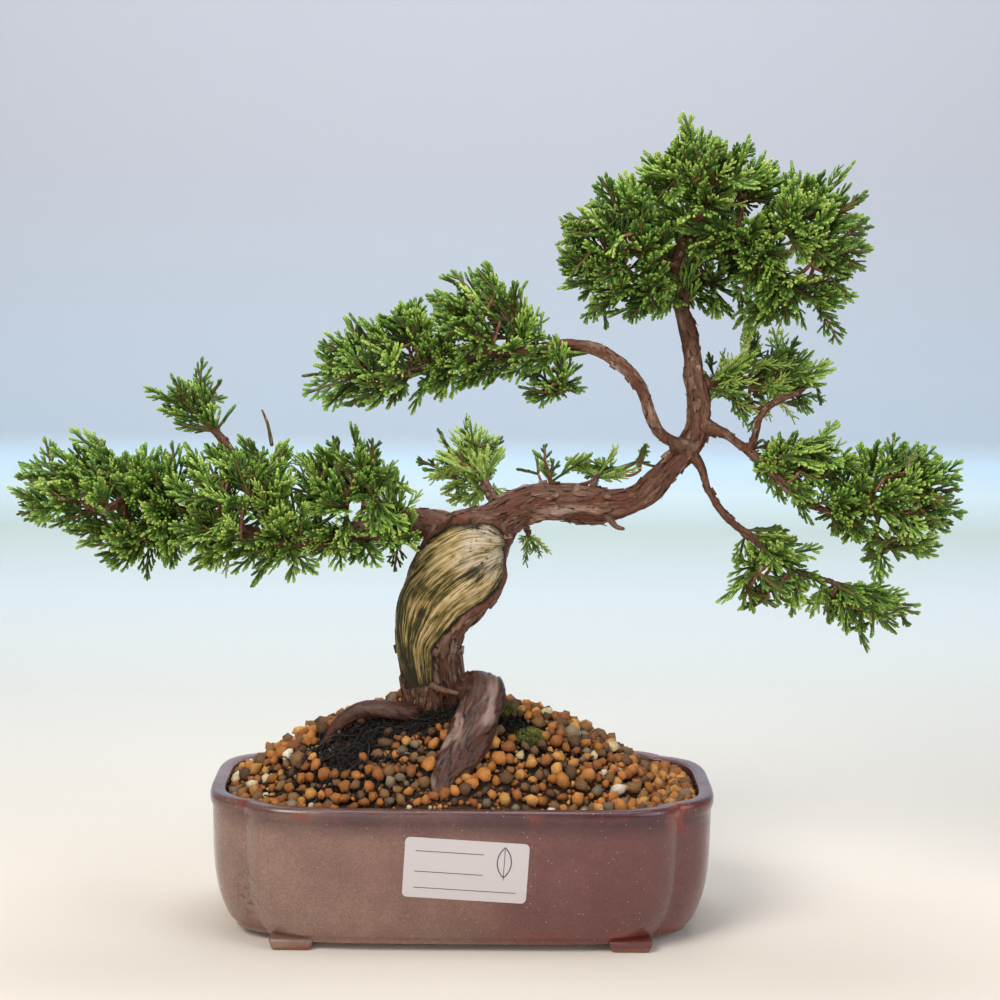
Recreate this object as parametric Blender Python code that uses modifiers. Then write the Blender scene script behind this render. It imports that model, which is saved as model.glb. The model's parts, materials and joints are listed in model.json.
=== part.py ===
# A trained juniper in a glazed four-lobed pot, in metres, +Z up, its front towards -Y.
# Everything is modelled about the pot's middle, on the surface the pot stands on,
# and hangs from one empty that puts the whole object's middle at the world's origin.
import math
import bmesh
import bpy
from mathutils import Matrix, Vector

MM = 0.001

# Driving sizes.
GAP = 0.3 * MM                  # clearance wherever two solids touch
POT_WIDTH = 168 * MM
POT_DEPTH = 92.3 * MM
POT_HEIGHT = 49.2 * MM
POT_WALL = 5 * MM
POT_FLOOR = 5 * MM
FOOT_HEIGHT = 2.7 * MM
FOOT_WIDTH = 12.5 * MM
FOOT_FROM_FRONT = 9 * MM        # how far in from the plan each foot's outer faces lie
RIM_BEAD = 3.8 * MM             # height of the band below the rim
GROOVE_FROM_SIDE = 13.3 * MM    # the notch between two lobes, in from the pot's side
GROOVE_FROM_FRONT = 11.5 * MM   # and in from its front
DRAIN_HOLE = 14 * MM
DRAIN_SPACING = 72 * MM
MESH_THICKNESS = 0.8 * MM
CLIP_WIRE = 1.2 * MM
ANCHOR_WIRE = 1.4 * MM
LABEL_WIDTH = 40 * MM
LABEL_HEIGHT = 20 * MM
LABEL_THICKNESS = 0.2 * MM
LABEL_X = 1.3 * MM              # right of the pot's middle
LABEL_ABOVE_FLOOR = 27 * MM     # its middle above the pot's underside
LABEL_TILT = 3.3                # degrees
SOIL_BELOW_RIM = 3.5 * MM
MOUND_HEIGHT = 30 * MM          # the root ball's top above the soil at the rim
MOUND_WIDTH = 126 * MM
MOUND_DEPTH = 84 * MM
ROOT_BALL_WIDTH = 92 * MM
ROOT_BALL_DEPTH = 54 * MM
ROOT_BALL_BOTTOM = 20 * MM
TREE_SPREAD = 312 * MM          # left tip of the foliage to its right tip
TREE_HEIGHT = 194 * MM          # top shoots above the tree's foot
TRUNK_GIRTH = 30 * MM           # trunk width at its fattest
PLACE_X = -8 * MM               # the pot's middle in the finished object's frame
PLACE_Y = -9 * MM

# The routes and foliage below are drawn in millimetres from the tree's foot, and the
# roots and moss from the pot's middle, for a tree, mound and pot of these sizes.
DRAWN_SPREAD = 312 * MM
DRAWN_HEIGHT = 194 * MM
DRAWN_GIRTH = 30 * MM
DRAWN_MOUND_WIDTH = 126 * MM
DRAWN_MOUND_DEPTH = 84 * MM
DRAWN_POT_WIDTH = 168 * MM
FOOT_X = -10 * MM
FOOT_Y = 2 * MM
MOUND_X = -4 * MM

# Trunk stations: x, y, z, half width across the view, half depth.
TRUNK = [
    (1, 0, -18, 14.5, 13), (0.5, 0, -8, 12.5, 11.5), (0, 0, 2, 11, 10.5), (-1.5, 0, 12, 11, 10.5),
    (-2.8, 0, 22, 11.3, 11), (-1, -1, 29.5, 12.8, 11.5), (3.5, -2, 36.5, 14.6, 12), (7.5, -2, 43.5, 15, 12),
    (11, -1, 50, 14.4, 11), (14.5, 2, 55.5, 11, 9.5), (20, 6, 59.5, 7.6, 7.5), (27, 8, 64, 7.1, 7),
    (36, 8, 66.5, 7.1, 6.8), (46, 6, 67, 6.6, 6.5), (54, 4, 67, 6.8, 6.5), (61, 2, 67, 5.7, 5.7),
    (66, 0, 68.5, 5.2, 5.2), (71, -2, 72, 5, 5), (76, -3, 78, 4.5, 4.5), (81, -3, 83, 4.6, 4.5),
    (85, -2, 88, 4.7, 4.6), (88, -1, 94, 4.6, 4.5), (88, 0, 101, 4.5, 4.3), (87, 1, 107, 3.8, 3.8),
    (85.5, 2, 113, 3.4, 3.3), (84, 3.5, 124, 3.1, 3.1), (81.5, 4, 132.5, 2.8, 2.8), (79.5, 4, 140, 2.5, 2.5),
    (79, 4, 147.5, 2.1, 2.1), (81, 4, 154, 2, 2), (84, 2, 163, 1.2, 1.2),
]

# Stems: what each one grows from, then its points as x, y, z, radius.
STEMS = {
    "limb_left": ("trunk", [
        (12, 2, 52, 5), (5, 2, 57, 5), (-3.5, 2, 60, 4.4), (-14, -1, 61, 3.9), (-28, -9, 57.5, 3.4),
        (-40, -16, 55.5, 2.9), (-56, -20, 57.5, 2.3), (-78, -18, 65, 1.6), (-104, -16, 70, 1)]),
    "limb_left_rise": ("limb_left", [
        (-48, -18, 56.5, 1.9), (-56, -10, 68, 1.7), (-65, -6, 81, 1.5), (-74, -4, 92, 1.2),
        (-82, -2, 98, 0.9)]),
    "limb_middle": ("trunk", [
        (85, -3, 87, 2.4), (76, -12, 90.5, 2.2), (70.5, -16, 97, 2), (68.5, -19, 104, 1.9),
        (65, -20, 111, 1.9), (56, -19, 118.5, 2), (44, -17, 122, 1.9), (31, -16, 119.5, 1.8),
        (14, -16, 118, 1.5), (-12, -16, 111, 0.9)]),
    "limb_apex_right": ("trunk", [
        (80, 4, 153, 1.8), (90.5, 0, 156.5, 1.7), (98, -4, 156.5, 1.6), (108, -6, 151, 1.3),
        (114, -6, 143, 1.2), (126, -6, 135, 0.8)]),
    "limb_apex_left": ("trunk", [(79, 4, 146, 1.3), (70, -1, 150.5, 1.1), (60, -5, 153, 0.8)]),
    "limb_right": ("trunk", [
        (88, 0, 93, 2.2), (94, -6, 93, 1.9), (103, -14, 87, 1.5), (112, -18, 79, 1.3), (122, -18, 70.5, 1.1),
        (133, -18, 67.5, 1), (148, -18, 67.5, 0.8)]),
    "limb_right_fork": ("limb_right", [
        (103, -14, 87, 1.2), (105, -16, 94, 1.1), (106, -17, 100, 1), (112, -14, 104, 0.9),
        (122, -8, 107, 0.8)]),
    "limb_right_back": ("trunk", [
        (87, 1, 107, 1.9), (97.5, 9, 109, 1.5), (108, 15, 108, 1.2), (122, 17, 107, 0.8)]),
    "limb_right_low": ("trunk", [
        (86, -2, 88, 1.6), (88.5, -6, 80, 1.4), (90.5, -9, 73, 1.3), (97, -12, 64, 1.3), (107, -14, 57, 1.2),
        (117, -14, 48.5, 1.1), (130, -14, 44.5, 1), (146, -13, 38, 0.8)]),
    "limb_back": ("trunk", [(22, 7, 62, 2.1), (20, 20, 65, 1.9), (17, 34, 69.5, 1.5), (12.5, 48, 76, 1)]),
    "limb_back_right": ("trunk", [(52, 4, 68, 1.5), (54, 20, 72, 1.2), (57, 32, 74, 1), (64, 39, 75, 0.8)]),
    "sprout_below": ("trunk", [(30, 7, 64, 1), (31, 19, 56, 0.9), (33, 27, 50, 0.8)]),
}

# Foliage masses: overlapping lobes, as x, y, z and three half sizes.
FOLIAGE = {
    "foliage_left_outer": [(-112, -17, 72, 25, 22, 18), (-98, -15, 60, 14, 18, 16)],
    "foliage_left_middle": [(-66, -18, 66, 21, 21, 20), (-60, -16, 77, 15, 17, 11)],
    "foliage_left_inner": [(-29, -9, 70, 19, 19, 18), (-20, -8, 76, 14, 14, 12)],
    "foliage_left_top": [(-81, -1, 100, 15, 11, 8)],
    "foliage_middle_outer": [(-19, -16, 114, 22, 20, 16), (-8, -16, 123, 14, 16, 12)],
    "foliage_middle_inner": [(14, -15, 128, 19, 19, 19), (26, -14, 122, 13, 15, 12)],
    "foliage_middle_droop": [(38, -16, 109, 11, 10, 12)],
    "foliage_apex_left": [(58, -4, 155, 18, 20, 20), (62, -4, 138, 17, 17, 12)],
    "foliage_apex_top": [(88, 0, 173, 23, 23, 20)],
    "foliage_apex_right": [(122, -4, 157, 20, 21, 22), (123, -4, 140, 17, 18, 16)],
    "foliage_apex_back": [(92, 24, 149, 22, 14, 17)],
    "foliage_right_back": [(110, 12, 108, 24, 18, 14)],
    "foliage_right_inner": [(121, -18, 84, 18, 15, 12)],
    "foliage_right_outer": [(152, -18, 74, 21, 20, 19), (151, -17, 60, 16, 16, 12)],
    "foliage_low_inner": [(112, -14, 46.5, 15, 14, 16)],
    "foliage_low_outer": [(142, -12, 35, 18, 14, 10)],
    "foliage_back": [(11.5, 48, 73.5, 17, 14, 15)],
    "foliage_back_right": [(62, 38, 75, 13, 11, 5.5), (44, 38, 76, 12, 9, 4.5)],
    "foliage_below": [(34, 28, 48.5, 5, 4.5, 5)],
}

# Surface roots: x, y across the mound, height of the middle above the soil, radius.
ROOTS = {
    "root_left": [
        (-11, -2, -6, 3), (-17, -10, 1, 3.1), (-25, -12, 5, 3), (-34, -11, 8, 2.6), (-41, -10, 6.5, 2.1),
        (-47, -9, 0, 1.7), (-51, -9, -6, 1.3)],
    "root_front": [
        (-8, -1, -4, 5), (3, -4, 6, 5.5), (8.3, -12, 12, 6.5), (8.7, -18, 11.5, 6.6), (4.8, -24, 7.5, 6.4),
        (-0.3, -28, 3.5, 5.5), (-6, -32, -1, 4), (-9, -35, -6, 2.6)],
    "root_back": [(-8, 6, -5, 5), (-1, 17, 1, 4.6), (7, 25, 1, 3.8), (12, 33, -1, 2.6), (15, 38, -6, 1.8)],
    "root_left_low": [
        (-40, -20, -4, 1.2), (-34, -23, 0.6, 1.1), (-28, -28, 0.8, 1), (-22, -33, 0.6, 0.9),
        (-20, -37.5, -2.5, 0.8)],
    "root_left_fan": [(-34, -9, -5, 2.4), (-41, -13, 0.6, 2.1), (-48, -16, 0.8, 1.5), (-55, -18, -3, 1)],
    "root_right": [(30, -5, -4, 1.9), (38, -8, 0.8, 1.8), (46, -12, 0.7, 1.6), (53, -15, -4, 1.2)],
    "root_right_thin": [(47, 4, -3, 1), (54, -1, 0.6, 0.9), (60, -8, 0.6, 0.9), (66, -13, -2.5, 0.8)],
}

# The anchor wire over the root ball: x, y, height above the soil.
ANCHOR_LOOP = [(-25, -14, -6), (-21, -24, 0.2), (-12, -28.5, 0.2), (-1, -18, -12), (16, -8, -16)]

# Moss cushions: x, y, height above the soil, three half sizes.
MOSS = {
    "moss_front": (22, -16, 0, 7, 6, 3.2),
    "moss_trunk": (14, -6, 0.5, 5, 4.5, 3),
    "moss_back": (-22, 18, 0, 8, 6, 3),
}

spread = TREE_SPREAD / DRAWN_SPREAD
rise = TREE_HEIGHT / DRAWN_HEIGHT
girth = TRUNK_GIRTH / DRAWN_GIRTH

for old in list(bpy.data.objects):
    bpy.data.objects.remove(old, do_unlink=True)

bonsai = bpy.data.collections.new("bonsai")
cutters = bpy.data.collections.new("cutters")
bpy.context.scene.collection.children.link(bonsai)
bpy.context.scene.collection.children.link(cutters)
pot_middle = bpy.data.objects.new("pot_middle", None)
pot_middle.location = (PLACE_X, PLACE_Y, 0)
bonsai.objects.link(pot_middle)


def material(name, colour, roughness, metallic=0.0):
    made = bpy.data.materials.new(name)
    made.use_nodes = True
    surface = made.node_tree.nodes["Principled BSDF"]
    surface.inputs["Base Color"].default_value = (*colour, 1)
    surface.inputs["Roughness"].default_value = roughness
    surface.inputs["Metallic"].default_value = metallic
    return made


MATERIALS = {
    "glaze": material("glaze", (0.13, 0.06, 0.065), 0.25),
    "bark": material("bark", (0.22, 0.11, 0.08), 0.85),
    "root_bark": material("root_bark", (0.12, 0.065, 0.055), 0.8),
    "foliage": material("foliage", (0.10, 0.24, 0.06), 0.6),
    "granules": material("granules", (0.40, 0.19, 0.07), 0.9),
    "peat": material("peat", (0.03, 0.02, 0.015), 0.95),
    "moss": material("moss", (0.06, 0.11, 0.02), 0.9),
    "plastic_mesh": material("plastic_mesh", (0.02, 0.02, 0.02), 0.5),
    "wire": material("wire", (0.35, 0.12, 0.07), 0.4, 1.0),
    "paper": material("paper", (0.85, 0.85, 0.83), 0.5),
}


def add_part(name, mesh, look):
    part = bpy.data.objects.new(name, mesh)
    mesh.materials.clear()
    mesh.materials.append(MATERIALS[look])
    bonsai.objects.link(part)
    part.parent = pot_middle
    return part


def add_cutter(name, mesh):
    cutter = bpy.data.objects.new(name, mesh)
    cutters.objects.link(cutter)
    cutter.parent = pot_middle
    cutter.hide_render = True
    cutter.display_type = "WIRE"
    return cutter


def combine(part, other, operation="DIFFERENCE"):
    modifier = part.modifiers.new(f"{operation.lower()}_{other.name}", "BOOLEAN")
    modifier.operation = operation
    modifier.solver = "EXACT"
    modifier.object = other


def cut_all(part, rooms):
    """Cuts away, in one step, every room whose box meets the part's own."""
    near = [room for room in rooms if boxes_meet(part, room)]
    if not near:
        return
    group = bpy.data.collections.new(f"{part.name}_cutters")
    cutters.children.link(group)
    for room in near:
        group.objects.link(room)
    modifier = part.modifiers.new("rooms", "BOOLEAN")
    modifier.operation = "DIFFERENCE"
    modifier.solver = "EXACT"
    modifier.operand_type = "COLLECTION"
    modifier.collection = group


def corners(thing):
    points = [vertex.co for vertex in thing.data.vertices]
    low = Vector([min(point[axis] for point in points) for axis in range(3)])
    high = Vector([max(point[axis] for point in points) for axis in range(3)])
    return low, high


def boxes_meet(one, other):
    low, high = corners(one)
    other_low, other_high = corners(other)
    return all(low[axis] < other_high[axis] and other_low[axis] < high[axis] for axis in range(3))


def smooth_mesh(mesh, angle=40):
    mesh.shade_smooth()
    mesh.set_sharp_from_angle(angle=math.radians(angle))


def finish_mesh(name, form):
    bmesh.ops.recalc_face_normals(form, faces=form.faces)
    mesh = bpy.data.meshes.new(name)
    form.to_mesh(mesh)
    form.free()
    smooth_mesh(mesh)
    return mesh


def loft(name, rings, first_hub, last_hub):
    """Closed skin over rings of equal length, each end closed by a fan round its hub."""
    form = bmesh.new()
    rows = [[form.verts.new(point) for point in ring] for ring in rings]
    count = len(rows[0])
    for lower, upper in zip(rows, rows[1:]):
        for i in range(count):
            j = (i + 1) % count
            form.faces.new((lower[i], lower[j], upper[j], upper[i]))
    for row, hub in ((rows[0], first_hub), (rows[-1], last_hub)):
        middle = form.verts.new(hub)
        for i in range(count):
            form.faces.new((row[i], row[(i + 1) % count], middle))
    return finish_mesh(name, form)


def smooth_route(points, steps):
    """Catmull-Rom curve through points of any number of values, with steps to each span."""
    padded = [points[0], *points, points[-1]]
    route = []
    for before, start, end, after in zip(padded, padded[1:], padded[2:], padded[3:]):
        for step in range(steps):
            t = step / steps
            place = []
            for a, b, c, d in zip(before, start, end, after):
                squared = (2 * a - 5 * b + 4 * c - d) * t ** 2
                cubed = (3 * b - a - 3 * c + d) * t ** 3
                place.append(0.5 * (2 * b + (c - a) * t + squared + cubed))
            route.append(tuple(place))
    route.append(points[-1])
    return route


def tube_mesh(name, route, grow=0.0):
    """Round tube along (place, radius) pairs; grow widens it and lengthens both ends."""
    places = [place.copy() for place, radius in route]
    places[0] += (places[0] - places[1]).normalized() * grow
    places[-1] += (places[-1] - places[-2]).normalized() * grow
    curve = bpy.data.curves.new(name, "CURVE")
    curve.dimensions = "3D"
    curve.bevel_depth = 1.0     # so that each point's radius is the tube's own, in metres
    curve.bevel_resolution = 2
    curve.use_fill_caps = True
    spline = curve.splines.new("POLY")
    spline.points.add(len(route) - 1)
    radii = [radius for place, radius in route]
    for point, place, radius in zip(spline.points, places, radii):
        point.co = (*place, 1)
        point.radius = radius + grow
    guide = bpy.data.objects.new(name, curve)
    bpy.context.scene.collection.objects.link(guide)
    evaluated = guide.evaluated_get(bpy.context.evaluated_depsgraph_get())
    mesh = bpy.data.meshes.new_from_object(evaluated)
    bpy.data.objects.remove(guide, do_unlink=True)
    form = bmesh.new()
    form.from_mesh(mesh)
    bmesh.ops.remove_doubles(form, verts=form.verts, dist=0.00001)
    bpy.data.meshes.remove(mesh)
    return finish_mesh(name, form)


# The pot's plan: a long lobe at the front and back crossing a short lobe at each side.
LONG_LOBE_POWER = 5.5
SIDE_LOBE_POWER = 4.5
groove_x = POT_WIDTH / 2 - GROOVE_FROM_SIDE
groove_y = POT_DEPTH / 2 - GROOVE_FROM_FRONT
long_lobe_reach = groove_x / (1 - (groove_y / (POT_DEPTH / 2)) ** LONG_LOBE_POWER) ** (1 / LONG_LOBE_POWER)
side_lobe_reach = groove_y / (1 - (groove_x / (POT_WIDTH / 2)) ** SIDE_LOBE_POWER) ** (1 / SIDE_LOBE_POWER)


def superellipse_radius(angle, half_x, half_y, power):
    across = abs(math.cos(angle)) / half_x
    along = abs(math.sin(angle)) / half_y
    return (across ** power + along ** power) ** (-1 / power)


def pot_radius(angle, inset):
    long_lobe = superellipse_radius(angle, long_lobe_reach - inset, POT_DEPTH / 2 - inset, LONG_LOBE_POWER)
    side_lobe = superellipse_radius(angle, POT_WIDTH / 2 - inset, side_lobe_reach - inset, SIDE_LOBE_POWER)
    return max(long_lobe, side_lobe)


def plan_angles():
    """Angles round the pot, closer together near the four grooves and more of them on a wider pot."""
    groove = math.atan2(groove_y, groove_x)
    side_steps, long_steps = (round(steps * POT_WIDTH / DRAWN_POT_WIDTH) for steps in (5, 8))
    side = [groove * (1 - (i / side_steps) ** 1.5) for i in range(side_steps, 0, -1)]
    long = [groove + (math.pi / 2 - groove) * (i / long_steps) ** 1.5 for i in range(long_steps)]
    quarter = side + long
    half = quarter + [math.pi / 2] + [math.pi - angle for angle in reversed(quarter)][:-1]
    return half + [angle + math.pi for angle in half]


ANGLES = plan_angles()


def pot_ring(height, inset):
    ring = []
    for angle in ANGLES:
        radius = pot_radius(angle, inset)
        ring.append(Vector((radius * math.cos(angle), radius * math.sin(angle), height)))
    return ring


floor_top = FOOT_HEIGHT + POT_FLOOR
# Heights and how far in from the plan the wall lies, outside going up and inside going down.
OUTSIDE = [
    (FOOT_HEIGHT, 8 * MM), (FOOT_HEIGHT + 2.4 * MM, 7 * MM), (FOOT_HEIGHT + 3 * MM, 6.2 * MM),
    (FOOT_HEIGHT + 8 * MM, 4 * MM), (FOOT_HEIGHT + 16 * MM, 2 * MM), (FOOT_HEIGHT + 25 * MM, 1 * MM),
    (POT_HEIGHT - RIM_BEAD - 0.8 * MM, 0.9 * MM), (POT_HEIGHT - RIM_BEAD, 0), (POT_HEIGHT - 0.8 * MM, 0),
    (POT_HEIGHT, 0.9 * MM),
]
INSIDE = [
    (POT_HEIGHT, POT_WALL - 0.9 * MM), (POT_HEIGHT - 0.8 * MM, POT_WALL),
    (FOOT_HEIGHT + 25 * MM, POT_WALL + 1 * MM), (FOOT_HEIGHT + 12 * MM, POT_WALL + 3 * MM),
    (floor_top, POT_WALL + 7 * MM),
]


def drain_places():
    return [("left", -DRAIN_SPACING / 2), ("right", DRAIN_SPACING / 2)]


def make_pot():
    rings = [pot_ring(height, inset) for height, inset in OUTSIDE + INSIDE]
    mesh = loft("pot", rings, Vector((0, 0, FOOT_HEIGHT)), Vector((0, 0, floor_top)))
    pot = add_part("pot", mesh, "glaze")
    foot_x = groove_x - FOOT_FROM_FRONT - FOOT_WIDTH / 2
    foot_y = POT_DEPTH / 2 - FOOT_FROM_FRONT - FOOT_WIDTH / 2
    for number, (side_x, side_y) in enumerate([(-1, -1), (1, -1), (1, 1), (-1, 1)]):
        form = bmesh.new()
        bmesh.ops.create_cube(form, size=1)
        bmesh.ops.scale(form, vec=(FOOT_WIDTH, FOOT_WIDTH, FOOT_HEIGHT * 1.5), verts=form.verts)
        place = Vector((side_x * foot_x, side_y * foot_y, FOOT_HEIGHT * 0.75))
        bmesh.ops.translate(form, vec=place, verts=form.verts)
        upright = [edge for edge in form.edges if abs(edge.verts[0].co.z - edge.verts[1].co.z) > FOOT_HEIGHT]
        bmesh.ops.bevel(form, geom=upright, offset=2.5 * MM, segments=2, profile=0.5, affect="EDGES")
        combine(pot, add_cutter(f"foot_{number}", finish_mesh("foot", form)), "UNION")
    for side, x in drain_places():
        form = bmesh.new()
        radius = DRAIN_HOLE / 2
        bmesh.ops.create_cone(
            form, cap_ends=True, segments=20, radius1=radius, radius2=radius, depth=3 * POT_FLOOR)
        # Turned a little so that no corner lies on an edge of the pot's floor.
        bmesh.ops.rotate(form, matrix=Matrix.Rotation(math.radians(4), 3, "Z"), verts=form.verts)
        bmesh.ops.translate(form, vec=(x, 0, FOOT_HEIGHT + POT_FLOOR / 2), verts=form.verts)
        combine(pot, add_cutter(f"drain_hole_{side}", finish_mesh("drain_hole", form)))
    return pot


# Drain meshes: a lattice of seven by seven cells with nine openings, the outer ones inside the hole.
MESH_CELLS = 7
mesh_cell = (DRAIN_HOLE / 2 - max(CLIP_WIRE, ANCHOR_WIRE) / 2 - 0.4 * MM) / 2
mesh_bottom = floor_top + GAP
mesh_top = mesh_bottom + MESH_THICKNESS


def make_drain_mesh(side, x):
    form = bmesh.new()
    half = mesh_cell * MESH_CELLS / 2
    bmesh.ops.create_grid(form, x_segments=MESH_CELLS, y_segments=MESH_CELLS, size=half)
    openings = []
    for face in form.faces:
        middle = face.calc_center_median() / mesh_cell
        column, row = (round(middle[axis]) + MESH_CELLS // 2 for axis in (0, 1))
        if column % 2 == 1 and row % 2 == 1:
            openings.append(face)
    bmesh.ops.delete(form, geom=openings, context="FACES")
    bmesh.ops.translate(form, vec=(x, 0, mesh_bottom), verts=form.verts)
    lattice = add_part(f"drain_mesh_{side}", finish_mesh(f"drain_mesh_{side}", form), "plastic_mesh")
    thick = lattice.modifiers.new("thickness", "SOLIDIFY")
    thick.thickness = MESH_THICKNESS
    thick.offset = 1


def mesh_recess(side, x):
    """Room under the soil for a drain mesh, its clip's bridge and the gap round them."""
    form = bmesh.new()
    bmesh.ops.create_cube(form, size=1)
    across = mesh_cell * MESH_CELLS + 2 * GAP
    bmesh.ops.scale(form, vec=(across, across, 2 * (mesh_top + GAP - floor_top)), verts=form.verts)
    bmesh.ops.translate(form, vec=(x, 0, floor_top), verts=form.verts)
    return add_cutter(f"mesh_recess_{side}", finish_mesh("mesh_recess", form))


def clip_route(x):
    """A staple over the mesh, its legs through the outer openings and turned out below the floor."""
    radius = CLIP_WIRE / 2
    leg = 2 * mesh_cell
    top = mesh_top + GAP + radius
    under = FOOT_HEIGHT - GAP - radius
    corner = 0.8 * MM
    half = [(0, top), (leg - corner, top), (leg, top - corner), (leg, under + corner), (leg + corner, under)]
    half.append((DRAIN_HOLE / 2 + 5 * MM, under))
    side = [Vector((x, y, z)) for y, z in half]
    other = [Vector((x, -y, z)) for y, z in reversed(half[1:])]
    return [(place, radius) for place in other + side]


def soil_height(x, y):
    across = (x - MOUND_X) / (MOUND_WIDTH / 2)
    along = y / (MOUND_DEPTH / 2)
    return POT_HEIGHT - SOIL_BELOW_RIM + MOUND_HEIGHT * max(0, 1 - across ** 2 - along ** 2)


foot = Vector((FOOT_X, FOOT_Y, soil_height(FOOT_X, FOOT_Y)))


def on_tree(x, y, z):
    return foot + Vector((x * spread, y * spread, z * rise)) * MM


def over_soil(x, y, lift):
    x_place = x * MM * MOUND_WIDTH / DRAWN_MOUND_WIDTH
    y_place = y * MM * MOUND_DEPTH / DRAWN_MOUND_DEPTH
    return Vector((x_place, y_place, soil_height(x_place, y_place) + lift * MM))


def anchor_route():
    """Under the floor from hole to hole, up through both and over the root ball."""
    radius = ANCHOR_WIRE / 2
    under = FOOT_HEIGHT - GAP - radius
    # Each riser passes through the mesh opening nearest the pot's middle.
    left, right = (x - math.copysign(2 * mesh_cell, x) for side, x in drain_places())
    over = [over_soil(*point) for point in ANCHOR_LOOP]
    # The loop leaves the left riser through the soil and ends on the right riser's top.
    corner = 1.2 * MM
    knee = 0.7 * soil_height(0, 0)
    left_top, right_top = knee - 9 * MM, knee - 14 * MM
    left_side = [(left + corner, under), (left, under + corner), (left, left_top)]
    right_side = [(right - corner, under), (right, under + corner), (right, right_top)]
    rising = [Vector((x, 0, z)) for x, z in left_side]
    falling = [Vector((x, 0, z)) for x, z in reversed(right_side)]
    bend = smooth_route([tuple(rising[-1]), *(tuple(place) for place in over), tuple(falling[0])], 4)
    loop = [Vector(place) for place in bend]
    # The two ends under the floor stop short of each other.
    start = Vector((0.5 * MM + radius, 0, under))
    end = Vector((-0.5 * MM - radius, 0, under))
    route = [end, *rising[:-1], *loop, *falling[1:], start]
    return [(place, radius) for place in route]


def make_wires():
    wires = {f"mesh_clip_{side}": clip_route(x) for side, x in drain_places()}
    wires["anchor_wire"] = anchor_route()
    for name, route in wires.items():
        add_part(name, tube_mesh(name, route), "wire")
        add_cutter(f"{name}_room", tube_mesh(f"{name}_room", route, GAP))
    return [f"{name}_room" for name in wires]


SOIL_SHARES = (0.94, 0.84, 0.72, 0.58, 0.42, 0.24)     # rings of the soil's top, from its edge inwards
SOIL_FROM_WALL = 0.5 * MM
SOIL_FROM_CORNER = 1.1 * MM     # more, low down, where the wall's faces twist as it curves in


def make_soil_bed():
    """Fills the pot between its inside and the root ball, and rises to the mound."""
    low, curving, upright = reversed(INSIDE[2:])
    rings = [pot_ring(floor_top + GAP, low[1] + SOIL_FROM_CORNER)]
    rings.append(pot_ring(curving[0], curving[1] + SOIL_FROM_CORNER))
    rings.append(pot_ring(upright[0], upright[1] + SOIL_FROM_WALL))
    # At its edge the soil keeps as far from the wall, which leans in a little below the rim.
    (lip_height, lip_inset), (low_height, low_inset) = INSIDE[1:3]
    edge_height = POT_HEIGHT - SOIL_BELOW_RIM
    share = (lip_height - edge_height) / (lip_height - low_height)
    edge = pot_ring(edge_height, lip_inset + (low_inset - lip_inset) * share + SOIL_FROM_WALL)
    for share in (1, *SOIL_SHARES):
        flat = [(place.x * share, place.y * share) for place in edge]
        rings.append([Vector((x, y, soil_height(x, y))) for x, y in flat])
    hub = Vector((0, 0, soil_height(0, 0)))
    return add_part("soil_bed", loft("soil_bed", rings, Vector((0, 0, floor_top + GAP)), hub), "granules")


def root_ball_mesh(name, grow=0.0):
    """Rounded block of peat and fine roots; a grown copy runs on upwards to cut the soil."""
    def ring(width_share, height):
        points = []
        for step in range(28):
            angle = 2 * math.pi * step / 28
            x = MOUND_X + (ROOT_BALL_WIDTH / 2 * width_share + grow) * math.cos(angle)
            y = (ROOT_BALL_DEPTH / 2 * width_share + grow) * math.sin(angle)
            points.append(Vector((x, y, soil_height(x, y) if height is None else height)))
        return points

    bottom = ROOT_BALL_BOTTOM - grow
    rings = [ring(0.8, bottom), ring(0.95, ROOT_BALL_BOTTOM + 9 * MM), ring(1, ROOT_BALL_BOTTOM + 20 * MM)]
    if grow:
        top = soil_height(MOUND_X, 0) + 20 * MM
        rings.append(ring(1, top))
    else:
        rings += [ring(share, None) for share in (1, 0.8, 0.58, 0.32)]
        top = soil_height(MOUND_X, 0)
    return loft(name, rings, Vector((MOUND_X, 0, bottom)), Vector((MOUND_X, 0, top)))


TRUNK_ANGLES = [2 * math.pi * (k + 0.3) / 18 for k in range(18)]


def trunk_rings(grow=0.0):
    middles = [on_tree(x, y, z) for x, y, z, half_width, half_depth in TRUNK]
    last = len(TRUNK) - 1
    rings = []
    for i, (x, y, z, half_width, half_depth) in enumerate(TRUNK):
        along = (middles[min(i + 1, last)] - middles[max(i - 1, 0)]).normalized()
        sideways = along.cross(Vector((0, 1, 0))).normalized()
        deep = sideways.cross(along).normalized()
        wide = half_width * MM * girth + grow
        thick = half_depth * MM * girth + grow
        ends = {0: -grow, last: grow}
        middle = middles[i] + along * ends.get(i, 0)
        ring = [(math.cos(angle), math.sin(angle)) for angle in TRUNK_ANGLES]
        rings.append([middle + sideways * wide * across + deep * thick * back for across, back in ring])
    return rings


def trunk_mesh(name, grow=0.0):
    rings = trunk_rings(grow)
    first = sum(rings[0], Vector()) / len(rings[0])
    last = sum(rings[-1], Vector()) / len(rings[-1])
    return loft(name, rings, first, last)


def stem_route(points):
    route = smooth_route(points, 2)
    return [(on_tree(x, y, z), radius * MM) for x, y, z, radius in route]


def root_route(points):
    route = smooth_route(points, 2)
    return [(over_soil(x, y, lift), radius * MM) for x, y, lift, radius in route]


def make_stems():
    """The trunk and every limb, each limb cut clear of what it grows from."""
    add_part("trunk", trunk_mesh("trunk"), "bark")
    rooms = [add_cutter("trunk_room", trunk_mesh("trunk_room", GAP))]
    for name, (parent, points) in STEMS.items():
        route = stem_route(points)
        limb = add_part(name, tube_mesh(name, route), "bark")
        rooms.append(add_cutter(f"{name}_room", tube_mesh(f"{name}_room", route, GAP)))
        combine(limb, bpy.data.objects[f"{parent}_room"])
    return rooms


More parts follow.
